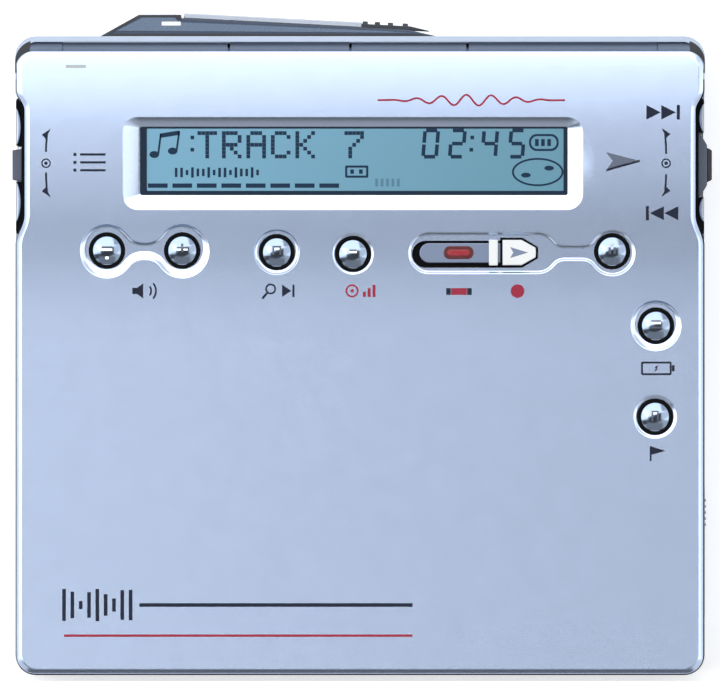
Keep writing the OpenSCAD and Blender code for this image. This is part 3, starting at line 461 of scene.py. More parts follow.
def inset(x0, x1, y0, y1, r, n):
    """The same outline as a function of how far it is drawn in."""
    return lambda d: rounded(x0 + d, x1 - d, y0 + d, y1 - d, r - d, n)


# Each key's centre and the radius of its dish, then the radius of a key's hole and the row of the record slider
KEYS = {"vol_down": (-28.9, 12.6, 3.05), "vol_up": (-20.3, 12.6, 3.05), "search": (-9.5, 12.4, 2.6),
        "mode": (-0.8, 12.2, 2.35), "pause": (28.8, 12.5, 2.65), "stop": (33.8, 4.0, 2.9), "mark": (33.7, -6.4, 2.5)}
HOLE, REC_Y = 2.08, 12.35


def wall(outline, profile, deep):
    """Rings down a recess. A profile row is (drawn in, share of the depth, shift to the rear), and every ring hangs
    that share of deep below the lid's own height, so that the recess follows the lid."""
    loops = [(outline(d) + (0, back), share) for d, share, back in profile]
    return rings([lift(xy, top(xy[:, 1]) - deep * share) for xy, share in loops])


# A bowl: a small round at the rim, then a slope that flattens towards the key. Its floor lies to the rear, so that the
# front side is a wide shallow slope and the rear side a narrow steep one.
d = np.array([0, 0.03, 0.07, 0.16, 0.3, 0.45, 0.58, 0.7])
BOWL = np.column_stack([d, [0, 0.02, 0.08, 0.32, 0.62, 0.82, 0.94, 1], 0.3 * d / 0.7])
# A flat dish: a narrow polished slope round a level floor
SHALLOW = np.array([[0, 0, 0], [0.03, 0.03, 0], [0.08, 0.14, 0], [0.25, 0.84, 0], [0.3, 0.96, 0], [0.36, 1, 0]])


def dish(x, y, r):
    """Outline of a round dish as a function of how far it is drawn in."""
    return lambda d: circle(x, y, r - d)


# Each recess: its outline, the keys in it, its profile and its depth
RECESSES = [(lambda d: dumbbell(-28.9, -20.3, 12.5, 3.1, 3.1, 1.0, 1.9, d), "vol_down vol_up", BOWL, 0.32),
            (dish(*KEYS["search"]), "search", BOWL * (0.52, 1, 0.4), 0.24),
            (dish(*KEYS["mode"]), "mode", SHALLOW * (0.6, 1, 1), 0.1),
            (lambda d: dumbbell(20.3, 28.8, 12.3, 2.4, 2.65, 0.9, 1.5, d, stretch=12.4), "pause", SHALLOW, 0.2),
            (dish(*KEYS["stop"]), "stop", BOWL * (0.85, 1, 0.7), 0.28),
            (dish(*KEYS["mark"]), "mark", SHALLOW, 0.16)]

# %% [markdown]
# The lid skin. It starts inside at the ceiling, runs down the inner wall, round the rim, up the outer skirt and over
# the bevel to the top field. Every recess is a wall and a floor with its holes, and every hole runs through to the
# ceiling. The pieces share their rings, so the skin closes.

# %% Lid skin
CEILING, GLASS_TOP = 16.2, 16.42


def hem(y):
    """Height of the skirt's lower edge, which steps up over the hinge."""
    return 11.8 + 2.7 * ramp(33.2, 33.5, y)


def lid_skin():
    """All patches of the lid. Finish 0 is the blasted metal, 1 the polished dishes, 2 the black hole linings."""
    loops = [lift(lid_outline(0.8), CEILING)]
    for d, rise in ((0.8, 0.1), (0.74, 0.02), (0.66, 0), (0.12, 0), (0.03, 0.04), (0, 0.13)):
        xy = lid_outline(d)
        loops.append(lift(xy, hem(xy[:, 1]) + rise))
    skirt = len(loops)
    # The bevel, as drawn in and drop below the top. It is half as deep at the rear, where the lid rolls down
    for d, drop in ((0, 0.42), (0.02, 0.37), (0.06, 0.325), (0.44, 0.05), (0.49, 0.015), (0.56, 0)):
        xy = lid_outline(d)
        loops.append(lift(xy, top(xy[:, 1]) - drop * (1 - 0.5 * ramp(27, 35, xy[:, 1]))))
    parts = [(*rings(run), 0) for run in (loops[:2], loops[1:skirt + 1], loops[skirt:])]

    holes, through = [], []
    slot = rounded(5.95, 19.6, 10.62, 13.7, 1.53, 18)
    for outline, keys, profile, deep in RECESSES:
        level = lambda p: top(p[:, 1]) - deep
        holes.append(outline(0))
        parts.append((*wall(outline, profile, deep), 1))
        inner = [circle(*KEYS[k][:2], HOLE) for k in keys.split()] + ([slot] if keys == "pause" else [])
        parts.append((*field(outline(profile[-1][0]) + (0, profile[-1][2]), inner, level), 0))
        # Finish 2 lines each hole in black: painted shade, so that the hole reads as a dark gap
        parts += [(*rings([lift(hole, level(hole)), lift(hole, CEILING)]), 2) for hole in inner]
        through += inner

    window = rounded(-25.125, 23.725, 18.9, 26.7, 0.25, 6)
    frame_out = rounded(-27.15, 25.45, 17.22, 27.85, 1.8, 6)
    steps = [lift(frame_out, top(frame_out[:, 1]))]
    for t, drop in ((0.04, 0.03), (0.1, 0.11), (0.9, 0.95), (0.96, 0.99), (1.0, 1.0)):
        xy = frame_out * (1 - t) + window * t
        steps.append(lift(xy, top(xy[:, 1]) * (1 - drop) + GLASS_TOP * drop))
    parts += [(*rings(steps), 1), (*rings([steps[-1], lift(window, CEILING)]), 2)]
    holes.append(frame_out)
    through.append(window)

    gx, gy = np.meshgrid(np.arange(-37.48, 37.6, 1.5), np.r_[np.arange(-34, 2, 6), np.arange(2.03, 34.6, 0.7)])
    grid = np.column_stack([gx.ravel(), gy.ravel()])
    parts.append((*field(lid_outline(0.56), holes, lambda p: top(p[:, 1]), grid=grid), 0))
    parts.append((*field(lid_outline(0.8), through, CEILING, up=False), 0))
    return parts


lid = weld("lid_dressed", lid_skin(), "lid", [lid_metal, dish_metal, gap_shade_black])
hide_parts("lid_shell")

# %% [markdown]
# Keys. A cap is a profile turned about its axis: a domed top like a drop of chrome, a small round, a straight side
# and a flange that stays under the lid. A ring of matt black plastic, painted shade, lines the gap, which is why it
# reads as black.

# %% Key caps and gap rings
LEAN, CAP_R, CAP_TOP, DOME, DOME_EDGE = 0.05, 1.64, 17.0, 3.3, 1.56


def turned(x, y, profile, n=64):
    """Profile rows are (radius, height) from the axis outwards and down. Each becomes a ring of n points, and the rows
    are taken backwards, so that faces look outwards. Above 16.5 mm a ring leans with the lid, higher to the rear."""
    a = np.linspace(0, 2 * np.pi, n, endpoint=False)
    r, z = np.asarray(profile)[::-1].T
    z = z[:, None] + LEAN * np.outer(r * (z > 16.5), np.sin(a))
    return rings(np.stack([x + np.outer(r, np.cos(a)), y + np.outer(r, np.sin(a)), z], -1))


def dome(r):
    """Height of a cap at radius r: a sphere of radius DOME whose top is at CAP_TOP."""
    return CAP_TOP - DOME + np.sqrt(DOME ** 2 - r ** 2)


r_dome, edge_z = np.linspace(0, DOME_EDGE, 14), float(dome(DOME_EDGE))
cap_top = np.column_stack([r_dome, dome(r_dome)])
cap_side = [[DOME_EDGE, edge_z], [1.61, edge_z - 0.045], [CAP_R, edge_z - 0.12], [CAP_R, 16.2], [CAP_R, 16.15]]
cap_base = [[CAP_R, 16.15], [2.5, 16.14], [2.52, 16.1], [2.52, 15.9], [2.48, 15.86], [0, 15.86]]
for name, (x, y, _) in KEYS.items():
    sides = [(*turned(x, y, profile), k) for profile, k in ((cap_top, 0), (cap_side, 0), (cap_base, 1))]
    cap = weld(f"key_{name}_cap", sides, name, [key_chrome, gap_shade_black])
    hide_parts(f"key_{name}")

ring = [[1.71, 16.44], [1.74, 16.47], [2.05, 16.47], [HOLE + 0.02, 16.44], [HOLE + 0.02, 16.21], [1.71, 16.21],
        [1.71, 16.44]]
weld("key_gap_shade_rings", [(*turned(x, y, ring), 0) for x, y, _ in KEYS.values()], "lid", [gap_shade_black])

# %% [markdown]
# Signs on the caps. Each is a dark inlay, painted shade for the shaded wall of the line, with a small tilted plate of
# chrome under it. The plate rises towards the front, so that it faces the light behind, and the pair reads as an
# engraved line: dark above and bright below.

# %% Signs and slabs
def slab(outline, low, high, finish_no=0, holes=()):
    """Closed plate between two heights, each a number or a function of the plane points: a top and a bottom field, and
    a wall round the outline and round each hole."""
    at_z = lambda xy, h: lift(xy, h(xy) if callable(h) else h)
    sides = [rings([at_z(outline, low), at_z(outline, high)])]
    sides += [rings([at_z(h, high), at_z(h, low)]) for h in holes]
    return [(*s, finish_no) for s in (field(outline, holes, high), field(outline, holes, low, up=False), *sides)]


def bar(x0, x1, y0, y1, n=8):
    """Rectangle outline with n points on each long side, so that a plate made from it can bend."""
    xs, mid = np.linspace(x0, x1, n + 1)[:, None] * (1, 0), (y0 + y1) / 2
    return np.concatenate([xs + (0, y0), [[x1, mid]], xs[::-1] + (0, y1), [[x0, mid]]])


def on_dome(x, y, over):
    """Height over the dome of the key at x, y."""
    return lambda p: dome(np.minimum(np.hypot(p[:, 0] - x, p[:, 1] - y), 1.6)) + LEAN * (p[:, 1] - y) + over


def facing(x, y, edge):
    """Height of a plate that starts at its rear edge and rises towards the front by 0.4 of the way."""
    return lambda p: on_dome(x, y, 0.015)(p) + 0.4 * np.maximum(edge - p[:, 1], 0)


# Dark inlays of painted shade, then bright plates, each as x from, x to, y from, y to about the key's centre
SIGNS = {"vol_down": ([(-0.6, 0.6, 0.2, 0.46)], [(-0.6, 0.6, -0.04, 0.2), (-0.18, 0.18, -1.0, -0.72)]),
         "vol_up": ([(-0.62, 0.62, 0.2, 0.4), (-0.13, 0.13, 0.42, 0.78), (-0.13, 0.13, -0.2, 0.18)],
                    [(-0.62, -0.15, 0.0, 0.18), (0.15, 0.62, 0.0, 0.18)]),
         "search": ([(-0.5, 0.5, 0.5, 0.72), (-0.5, -0.3, -0.3, 0.48), (0.3, 0.5, -0.3, 0.48)],
                    [(-0.28, 0.28, 0.3, 0.48)]),
         "mode": ([(-0.42, 0.42, 0.3, 0.5)], [(-0.42, 0.42, 0.1, 0.3)]),
         "pause": ([(-0.42, -0.16, -0.3, 0.45), (0.16, 0.42, -0.3, 0.45)], [(-0.2, 0.2, 0.62, 0.9)]),
         "stop": ([(-0.55, 0.55, 0.42, 0.62), (-0.55, 0.55, -0.3, -0.12)], [(-0.55, 0.55, 0.2, 0.42)]),
         "mark": ([(-0.4, 0.4, 0.5, 0.68), (-0.4, -0.22, -0.5, 0.48), (0.22, 0.4, -0.5, 0.48)],
                  [(-0.2, 0.2, 0.3, 0.48)])}
for name, (dark, bright) in SIGNS.items():
    x, y, _ = KEYS[name]
    foot, parts = on_dome(x, y, -0.04), []
    # The dark inlays are painted shade
    for a, b, c, d in dark:
        parts += slab(bar(x + a, x + b, y + c, y + d), foot, on_dome(x, y, 0.012), 1)
    for a, b, c, d in bright:
        parts += slab(bar(x + a, x + b, y + c, y + d), foot, facing(x, y, y + d))
    weld(f"key_{name}_sign", parts, name, [chrome, lever_dark])

# %% [markdown]
# The record slider: a grey plated bar in a round-ended slot, with a red acrylic window, a white ridge for the nail and
# a white arrow cap that stands proud and slides over the well.

# %% Record slider
def bevelled(outline_of, z0, z1, ease, finish_no=0):
    """Closed block whose top edge is broken by ease: rings of the outline drawn in, between two flat fields."""
    prof = [(0, z0), (0, z1 - ease), (ease * 0.3, z1 - ease * 0.3), (ease, z1)]
    loops = [lift(outline_of(d), z) for d, z in prof]
    return [(*s, finish_no) for s in (rings(loops[:2]), rings(loops[1:]), field(outline_of(ease), (), z1),
                                      field(outline_of(0), (), z0, up=False))]


def arrow(d):
    """Arrow cap drawn in by d: a straight back, straight sides, and two slants to a short nose."""
    x0, x1, x2, h, n = 16.28 + d, 18.45 - 0.3 * d, 20.04 - d, 1.44 - d, 0.55 - 0.4 * d
    return np.array([[x0, -h], [x1, -h], [x2, -n], [x2 + 0.04, 0], [x2, n], [x1, h], [x0, h]]) + (0, REC_Y)


ridge = lambda d: rounded(14.72 + d, 15.74 - d, REC_Y - 1.48 + d, REC_Y + 1.45 - d, 0.14, 4)
plate = bevelled(inset(6.8, 17.4, 11.16, 13.44, 1.12, 14), 16.24, 16.62, 0.1)
# The black slot lining round the plate is painted shade in the gap
plate += slab(rounded(3.8, 22.4, REC_Y - 2.2, REC_Y + 2.2, 0.3, 4), 15.76, 16.17, 2)
plate += bevelled(ridge, 16.68, 17.3, 0.12, 1)
plate += slab(rounded(14.8, 15.66, 11.0, 13.4, 0.1, 3), 16.3, 16.7, 1)
rec_plate = weld("record_slider_plate", plate, "rec", [slider_grey, cap_white, gap_shade_black])
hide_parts("rec_slider")

# The cap, the black skirt and foot under it, and the grey arrowhead inlaid in it. The skirt stands out round the cap as
# a painted shadow outline
cap = bevelled(arrow, 16.7, 17.33, 0.12) + slab(arrow(-0.26), 16.66, 16.75, 1)
cap += slab(rounded(16.4, 17.4, REC_Y - 0.7, REC_Y + 0.7, 0.2, 3), 16.5, 16.7, 1)
cap += slab(np.array([[17.15, -0.62], [19.2, 0], [17.15, 0.62], [17.5, 0]]) + (0, REC_Y), 17.3, 17.342, 2)
rec_cap = weld("record_slider_cap", cap, "rec", [cap_white, gap_shade_black, slider_grey])
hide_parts("rec_cap")
lens = bevelled(inset(9.55, 12.98, REC_Y - 0.74, REC_Y + 0.74, 0.72, 10), 16.55, 16.72, 0.06)
lens += bevelled(inset(10.0, 12.5, REC_Y - 0.34, REC_Y + 0.34, 0.33, 10), 16.6, 16.76, 0.05, 1)
rec_lens = weld("record_lamp_lens", lens, "rec", [lens_rim, lens_red])
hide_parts("rec_lens")

# %% [markdown]
# The seam. Between lid and belt runs a thin seal that reads as a dark line round the front and the right side, and a
# black strip behind each lever: both are painted shade for the shadow in the seam. At the rear corners a black filler
# and a small dark crescent, painted shade where the belt's rounded corner lies in shadow, close the space beside the
# hinge. Two half-pipe covers hide the hinge's ends, and a silver sill runs along behind it.

# %% Seal, corner fillers and hinge ends
def tube(sections):
    """Closed tube through sections of 2k points: rings along it, and at each end a strip of faces between point j and
    point 2k - 1 - j."""
    pts, faces = rings(sections)
    m = sections.shape[1]
    j = np.arange(m // 2 - 1)
    cap = np.stack([j, j + 1, m - 2 - j, m - 1 - j], 1)
    return pts, np.concatenate([faces, cap[:, ::-1], cap + len(pts) - m])


def along(path, half, low, high, finish_no=0):
    """Closed strip on a path: the section is a rectangle from half in to half out across, and low to high."""
    t = np.gradient(path, axis=0)
    out = np.column_stack([t[:, 1], -t[:, 0]]) / np.linalg.norm(t, axis=1, keepdims=True)
    a, b = path - out * half[0], path + out * half[1]
    return *tube(np.stack([lift(a, low), lift(a, high), lift(b, high), lift(b, low)], 1)), finish_no


def on_side(loop, side):
    """Outline drawn for the right side, or its mirror image on the left, anticlockwise on both."""
    return (loop * (side, 1))[::side]


edge = lid_outline(0)
turn_at = np.argmax(edge[:, 1] > 33.2)
left_at = len(edge) - np.argmax(edge[::-1, 1] > 33.2)
seal_path = np.concatenate([edge[left_at:], edge[:turn_at]])
seal_path = seal_path[np.r_[True, np.linalg.norm(np.diff(seal_path, axis=0), axis=1) > 1e-6]]
seal = [along(seal_path, (-0.03, 0.24), 11.52, 12.06)]
by_lever = (edge[:, 1] > 14.4) & (edge[:, 1] < 30.2)
for side in (1, -1):
    seal.append(along(edge[by_lever & (edge[:, 0] * side > 0)], (-0.2, 0.46), 11.56, 12.07, 1))
# Rubber: black and matt, painted shade in the seam. On the left it fades to grey, a painted highlight where it catches
# light
seal_shade_and_highlight = finish("rubber seal", "8a8f96", 0.8, tint=0.05, painted_light_fade=("050608", -39.1, -38.8), Specular_IOR_Level=0.12)
weld("lid_seal", seal, "root", [seal_shade_and_highlight, gap_shade_black])

# Black filler and dark crescent: painted shade at the rear corners, where the belt's rounded corner lies in shadow
filler = np.concatenate([arc(36.85, 34.5, 2.2, 8, 70, 12), arc(37.3, 33.3, 2.2, 42, 80, 12)[::-1]])
crescent = np.vstack([[39.44, 32.9], arc(37.0, 34.2, 2.44, 0, 74, 14), arc(37.3, 33.3, 2.1, 14, 79, 12)[::-1],
                      [39.22, 32.9]])
fill = []
for side in (1, -1):
    fill += slab(on_side(filler, side), 13.0, 13.95) + slab(on_side(crescent, side), 13.9, 14.22, 1)
weld("corner_shade_fillers", fill, "root", [gap_shade_black, cap_dark])

HINGE_Y, HINGE_Z = 35.45, 13.35
shell = np.concatenate([arc(HINGE_Y, HINGE_Z, 0.95, -25, 100, 30), arc(HINGE_Y, HINGE_Z, 0.88, 100, -25, 30)])
shell = lift(shell, 0)[:, [2, 0, 1]]
ends = [(*tube(np.stack([shell + (x, 0, 0) for x in span])), 0) for span in ((-37.75, -34.05), (34.05, 37.75))]
weld("hinge_ends", ends, "root", [hinge_steel])
weld("hinge_sill", slab(bar(-36.9, 36.9, 36.33, 36.5), 12.55, 13.2), "root", [belt_paint])

# %% [markdown]
# The bright lenses beside the levers. Each is D-shaped, with its straight side outwards, and lies on a black plate,
# painted shade, that fills the notch. The top is domed across its width, so that it shows a bright core between two
# dark lines.

# %% Lenses beside the levers
LENS_X = 39.4


def notch_lens(side, y0, y1, z0=12.06, z1=12.34, n=28, m=9):
    """D-shaped lens: its outer side is straight, and its width is 0.66 times the root of the sine of the way from end
    to end. Across it the height is z0 plus the rise times the root of 1 - s squared, with s from -1 to 1."""
    way = (1 - np.cos(np.linspace(0.06, np.pi - 0.06, n))) / 2
    half = 0.33 * np.sqrt(np.sin(np.pi * way))[:, None]
    s = np.linspace(-1, 1, m)
    fall = np.clip(4 * (1 - np.abs(np.linspace(-1, 1, n))), 0, 1)[:, None] ** 0.5
    z = z0 + (z1 - z0) * np.sqrt(np.clip(1 - s ** 2, 0, 1)) * fall
    y = np.repeat((y0 + (y1 - y0) * way)[:, None], m, 1)
    upper = np.stack([side * (LENS_X - half + half * s), y, z], -1)
    pts, faces = tube(np.concatenate([upper, (upper * (1, 1, 0) + (0, 0, z0 - 0.05))[:, ::-1]], 1))
    return pts, faces[:, ::side], 0


def backing(side, y0, y1):
    """Black plate under a lens, from the notch edge to the lens's straight side."""
    # The plate is black as painted shade in the notch
    y = np.linspace(y0, y1, 16)
    inner = np.column_stack([LID_HALF + 0.26 - notch(y), y])[::-1]
    return slab(on_side(np.concatenate([inner, [[LENS_X, y0], [LENS_X, y1]]]), side), 12.01, 12.05, 1)


# Lenses: plated with a pearly chrome that spreads its highlight
pearl_chrome = finish("pearl chrome plating", "9298a2", 0.3, 1.0, grain=0.5, tint=0.01, spread=0.01)
for name, side, (rear, front) in (("lenses_left", -1, ((24.6, 28.9), (15.9, 20.5))),
                                  ("lenses_right", 1, ((26.1, 29.4), (15.9, 18.7)))):
    parts = [notch_lens(side, *rear), notch_lens(side, *front)]
    parts += backing(side, rear[0], 29.8) + backing(side, 14.8, front[1])
    weld(name, parts, "root", [pearl_chrome, gap_shade_black])

# %% [markdown]
# The rear guard's top has a raised step, a pale mark that is a painted highlight, a black block where the slide bar
# begins that is painted shade in a notch, and dark lines along its edges that are painted shadow in the gaps.

# %% Guard details
step = np.array([[-27.9, 37.75], [-5.0, 37.6], [6.0, 37.5], [3.0, 37.72], [-20.7, 38.75], [-21.2, 39.25],
                 [-24.9, 39.25]])
# The step, then a pale plate that is a painted highlight
guard_top = slab(step, 12.5, 12.72) + slab(rounded(-22.7, -20.5, 38.35, 38.8, 0.1, 3), 12.6, 12.76, 1)
# Black block: painted shade in the notch at the bar's start
guard_top += slab(rounded(-21.0, -20.45, 39.1, 39.58, 0.08, 3), 12.4, 12.85, 2)
# Dark lines along the guard's edges: painted shadow in the gaps
for line in ([[-29.2, 37.12], [8.3, 37.12], [6.6, 37.4], [-28.8, 37.4]],
             [[-28.95, 37.42], [-28.4, 37.42], [-25.25, 39.3], [-25.4, 39.48]],
             [[-25.2, 39.32], [-21.1, 39.32], [-21.1, 39.5], [-25.35, 39.5]]):
    guard_top += slab(np.array(line), 12.45, 12.64, 2)
# The step is lacquered, so it shines a little more than the guard; its lighter colour is a painted sheen
guard_step_sheen = finish("blue-grey lacquer", "5f6f85", 0.26, 0.5, tint=0.02, spread=0.02)
weld("guard_step", guard_top, "root", [guard_step_sheen, cap_white, cap_dark])

# %% [markdown]
# The display. A teal panel lies a little below the lid inside a dark band, a painted shadow of the window's edge. What
# it shows is printed on it as thin plates: a line of dot-matrix signs, a clock made of seven-segment digits, a level
# bar and small symbols.

# %% Display panel
def plates(corners, low, high, finish_no=0):
    """Many four-cornered plates at once. corners is (k, 4, 2), anticlockwise, and each plate gets its six faces."""
    flat = np.asarray(corners, float).reshape(-1, 2)
    z = [h(flat) if callable(h) else h for h in (low, high)]
    pts = np.stack([lift(flat, h).reshape(-1, 4, 3) for h in z], 1).reshape(-1, 3)
    box = np.array([[3, 2, 1, 0], [4, 5, 6, 7], [0, 1, 5, 4], [1, 2, 6, 5], [2, 3, 7, 6], [3, 0, 4, 7]])
    return pts, (box + 8 * np.arange(len(pts) // 8)[:, None, None]).reshape(-1, 4), finish_no


def boxes(x, y, w, h):
    """Corners of rectangles about the points x, y."""
    x, y = np.broadcast_arrays(np.atleast_1d(x).astype(float), y)
    cx, cy = np.array([-0.5, 0.5, 0.5, -0.5]), np.array([-0.5, -0.5, 0.5, 0.5])
    w, h = [np.broadcast_to(v, x.shape)[:, None] for v in (w, h)]
    return np.stack([x[:, None] + w * cx, y[:, None] + h * cy], -1)


def stroke(path, width):
    """Outline of a line of that width along a path."""
    p = np.asarray(path, float)
    t = np.gradient(p, axis=0)
    side = np.column_stack([-t[:, 1], t[:, 0]]) / np.linalg.norm(t, axis=1, keepdims=True) * width / 2
    return np.concatenate([p - side, (p + side)[::-1]])


def oval(x, y, a, b, n=48):
    """Anticlockwise ellipse."""
    return circle(0, 0, 1, n) * (a, b) + (x, y)


# Height of the panel, how far plates sink in and stand proud, and the slant of the clock's digits
PANEL, SINK, PROUD, SLANT = 16.3, 0.05, 0.012, 0.08


def shown(outline, holes=()):
    """A display symbol as a thin plate."""
    return slab(outline, PANEL - SINK, PANEL + PROUD, 0, holes)


def shown_all(corners, proud=PROUD):
    """Many four-cornered display segments at once."""
    return [plates(corners, PANEL - SINK, PANEL + proud)]


glass, clear = rounded(-25.1, 23.7, 18.93, 26.67, 0.23, 6), rounded(-24.35, 23.25, 19.4, 26.52, 0.12, 4)
# The dark plate round the panel is painted shadow at the window's edges
panel = weld("display_panel", slab(clear, 15.8, PANEL) + slab(glass, 15.78, 16.36, 1, [clear]), "lid",
             [lcd_teal, lcd_edge_shadow])
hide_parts("lcd_window")

# Seven rows of five dots a sign, top row first, written in hexadecimal
DOTS = {"T": "1F040404040404", "R": "1E11111E141211", "A": "0E11111F111111", "C": "0E11101010110E",
        "K": "11121418141211", " ": "00000000000000", "7": "1F010204080808"}
CELL, DOT_X, DOT_Y = 2.797, 0.45, 0.445
dot_xy = []
for k, sign in enumerate("TRACK 7"):
    rows = np.array([[int(DOTS[sign][2 * r:2 * r + 2], 16) >> (4 - c) & 1 for c in range(5)] for r in range(7)])
    r, c = np.nonzero(rows)
    dot_xy.append(np.column_stack([-18.35 + CELL * k + DOT_X * c, 26.0 - DOT_Y * r]))
dot_xy = np.concatenate(dot_xy)

# Seven segments: top, upper right, lower right, bottom, lower left, upper left, middle
ENDS = np.array([[[.12, 3], [1.38, 3]], [[1.5, 2.9], [1.5, 1.6]], [[1.5, 1.4], [1.5, .1]], [[.12, 0], [1.38, 0]],
                 [[0, .1], [0, 1.4]], [[0, 1.6], [0, 2.9]], [[.15, 1.5], [1.35, 1.5]]])
LIT = {"0": "012345", "2": "01346", "4": "1256", "5": "02356"}
CLOCK_Y = 23.3
segs = []
for x, digit in zip((7.2, 10.25, 13.95, 17.05), "0245"):
    for k in LIT[digit]:
        p = ENDS[int(k)] + (x, CLOCK_Y)
        p[:, 0] += SLANT * (p[:, 1] - CLOCK_Y)
        segs.append(stroke(p, 0.42))
for y in (24.1, 25.5):
    segs += list(boxes([12.65 + SLANT * (y - CLOCK_Y), -19.15], y, 0.42, 0.42))
segs += list(boxes(-23.1 + CELL * np.arange(8), 20.0, 2.25, 0.5))
lit = shown_all(boxes(*dot_xy.T, 0.43, 0.43)) + shown_all(segs)

# Two notes, a cell, a disc with two marks, and a small frame
for x, y in ((-23.5, 23.55), (-21.4, 23.95)):
    lit += shown(oval(x, y, 0.55, 0.4, 24))
lit += shown_all([stroke([[-23.05, 23.6], [-22.75, 25.9]], 0.22), stroke([[-20.95, 24.0], [-20.65, 26.2]], 0.22),
                  stroke([[-22.85, 25.7], [-20.6, 26.05]], 0.5)], PROUD - 0.001)
lit += shown(rounded(19.3, 22.7, 23.95, 25.9, 0.9, 8), [rounded(19.55, 22.45, 24.2, 25.65, 0.68, 8)])
lit += shown_all(boxes([20.2, 20.9, 21.6], 24.92, 0.42, 0.8))
lit += shown(oval(20.3, 21.55, 2.95, 1.62), [oval(20.3, 21.55, 2.72, 1.4)])
lit += shown(oval(18.95, 21.2, 0.55, 0.28, 20)) + shown(oval(21.6, 22.0, 0.55, 0.28, 20))
lit += shown(rounded(-1.7, 0.95, 20.9, 22.3, 0.15, 3), [rounded(-1.45, 0.7, 21.15, 22.05, 0.06, 3)])
lit += shown_all(boxes([-0.9, 0.1], 21.6, 0.42, 0.5))
# Small level marks where a line of small signs stands
small = np.arange(-21.0, -11.2, 0.62)
lit += shown_all(boxes(small, 21.5, 0.3, 0.45 + 0.75 * np.abs(np.sin(small * 1.9))))
weld("display_signs", lit, "lid", [lcd_navy])
dim = boxes(1.9 + 0.62 * np.arange(5), 20.35, 0.32, 0.9)
weld("display_unlit", shown_all(dim, PROUD - 0.002), "lid", [lcd_dim])

# %% [markdown]
# Pad prints. Ink stands about a fiftieth of a millimetre over the metal. Each symbol is a thin closed plate that
# follows the lid: the usual signs for skipping and playing, arrows for the levers, and a small pictogram by each key.

# %% Symbols on the lid
INK = [lambda p, over=over: top(p[:, 1]) + over for over in (-0.03, 0.018)]


def ink(outline, colour=0, holes=()):
    """A printed shape: a plate from just under the metal to just over it."""
    return slab(np.asarray(outline, float), *INK, colour, holes)


def inks(x, y, w, h, colour=0):
    """Many printed rectangles at once."""
    return [plates(boxes(x, y, w, h), *INK, colour)]


def triangle(x, y, w, h):
    """Triangle whose base stands at x and whose point lies w further."""
    pts = np.array([[x, y - h / 2], [x + w, y], [x, y + h / 2]])
    return pts if w > 0 else pts[::-1]


def ringed(x, y, r, w, colour=0):
    """Printed ring of width w."""
    return ink(circle(x, y, r, 40), colour, [circle(x, y, r - w, 40)])


def bow(x, y0, y1, lean):
    """Curved stem from y0 to y1 with a barbed half head that leans to one side."""
    t = np.linspace(0, 1, 9)
    stem = np.column_stack([x + 0.12 * lean * t ** 2, y0 + (y1 - y0) * t])
    s = 1 if y1 > y0 else -1
    head = np.array([[-0.05 * lean, -0.4 * s], [0.55 * lean, 0.75 * s], [-0.5 * lean, 0.05 * s]]) + (x, y1)
    return ink(stroke(stem, 0.22)) + ink(head[::s * lean])


prints = []
# Skip signs: the bases of two triangles, their width and height, and the end mark
for bases, y, w, h, end in (((32.7, 34.4), 28.36, 1.65, 1.67, 36.35), ((36.35, 34.7), 16.85, -1.6, 1.6, 32.82)):
    prints += ink(triangle(bases[0], y, w, h)) + ink(triangle(bases[1], y, w, h)) + inks([end], y, 0.36, h)
prints += bow(-35.85, 23.85, 25.75, 1) + bow(-35.85, 21.5, 19.4, 1) + bow(34.95, 23.65, 25.85, -1)
prints += bow(34.95, 21.3, 19.45, -1)
for x in (-35.85, 34.95):
    prints += ringed(x, 22.55, 0.55, 0.16) + ink(circle(x, 22.55, 0.2, 20))
# Play triangle in grey with a dark lower edge
prints += ink([[28.1, 21.75], [31.9, 22.85], [28.1, 23.8], [28.85, 22.8]], 2)
prints += ink([[28.1, 21.62], [32.0, 22.72], [31.9, 22.98], [28.2, 21.9]])
# Menu: three lines with a dot each
rows = np.array([21.75, 22.65, 23.55])
prints += inks(-30.5, rows, 2.9, 0.26) + inks(-32.55, rows, 0.34, 0.34)
# Loudspeaker with two sound arcs
prints += ink([[-26.0, 7.62], [-25.45, 7.62], [-24.75, 7.1], [-24.75, 8.85], [-25.45, 8.33], [-26.0, 8.33]])
for r in (0.75, 1.3):
    prints += ink(stroke(arc(-24.6, 7.97, r, -42, 42, 10), 0.2))
# Magnifying glass and end mark
prints += ringed(-10.2, 8.2, 0.62, 0.2) + ink(stroke([[-10.62, 7.72], [-11.15, 7.1]], 0.26))
prints += ink(triangle(-8.9, 7.98, 1.05, 1.4)) + inks([-7.6], 7.98, 0.24, 1.4)
# Disc with level bars, in red
prints += ringed(-0.9, 7.98, 0.75, 0.2, 1) + ink(circle(-0.9, 7.98, 0.2, 20), 1)
tall = np.array([0.6, 1.0, 1.4])
prints += inks([0.5, 1.05, 1.6], 7.28 + tall / 2, 0.34, tall, 1)
# Bar and dot under the slider, in red between dark ends
prints += inks([11.3], 7.9, 1.8, 0.78, 1) + inks([10.1, 12.5], 7.9, 0.52, 0.78)
prints += ink(circle(18.0, 7.95, 0.78, 40), 1)
# Cell with a spark, flag
prints += ink(rounded(32.1, 35.6, -1.65, -0.1, 0.2, 4), 0, [rounded(32.32, 35.38, -1.43, -0.32, 0.08, 4)])
prints += inks([35.78], -0.87, 0.3, 0.7)
prints += ink([[33.55, -1.3], [34.1, -0.9], [33.86, -0.9], [34.15, -0.45], [33.58, -0.84], [33.83, -0.84]])
prints += inks([33.2], -10.6, 0.2, 1.7) + ink([[33.3, -10.75], [34.9, -10.3], [33.3, -9.8]])
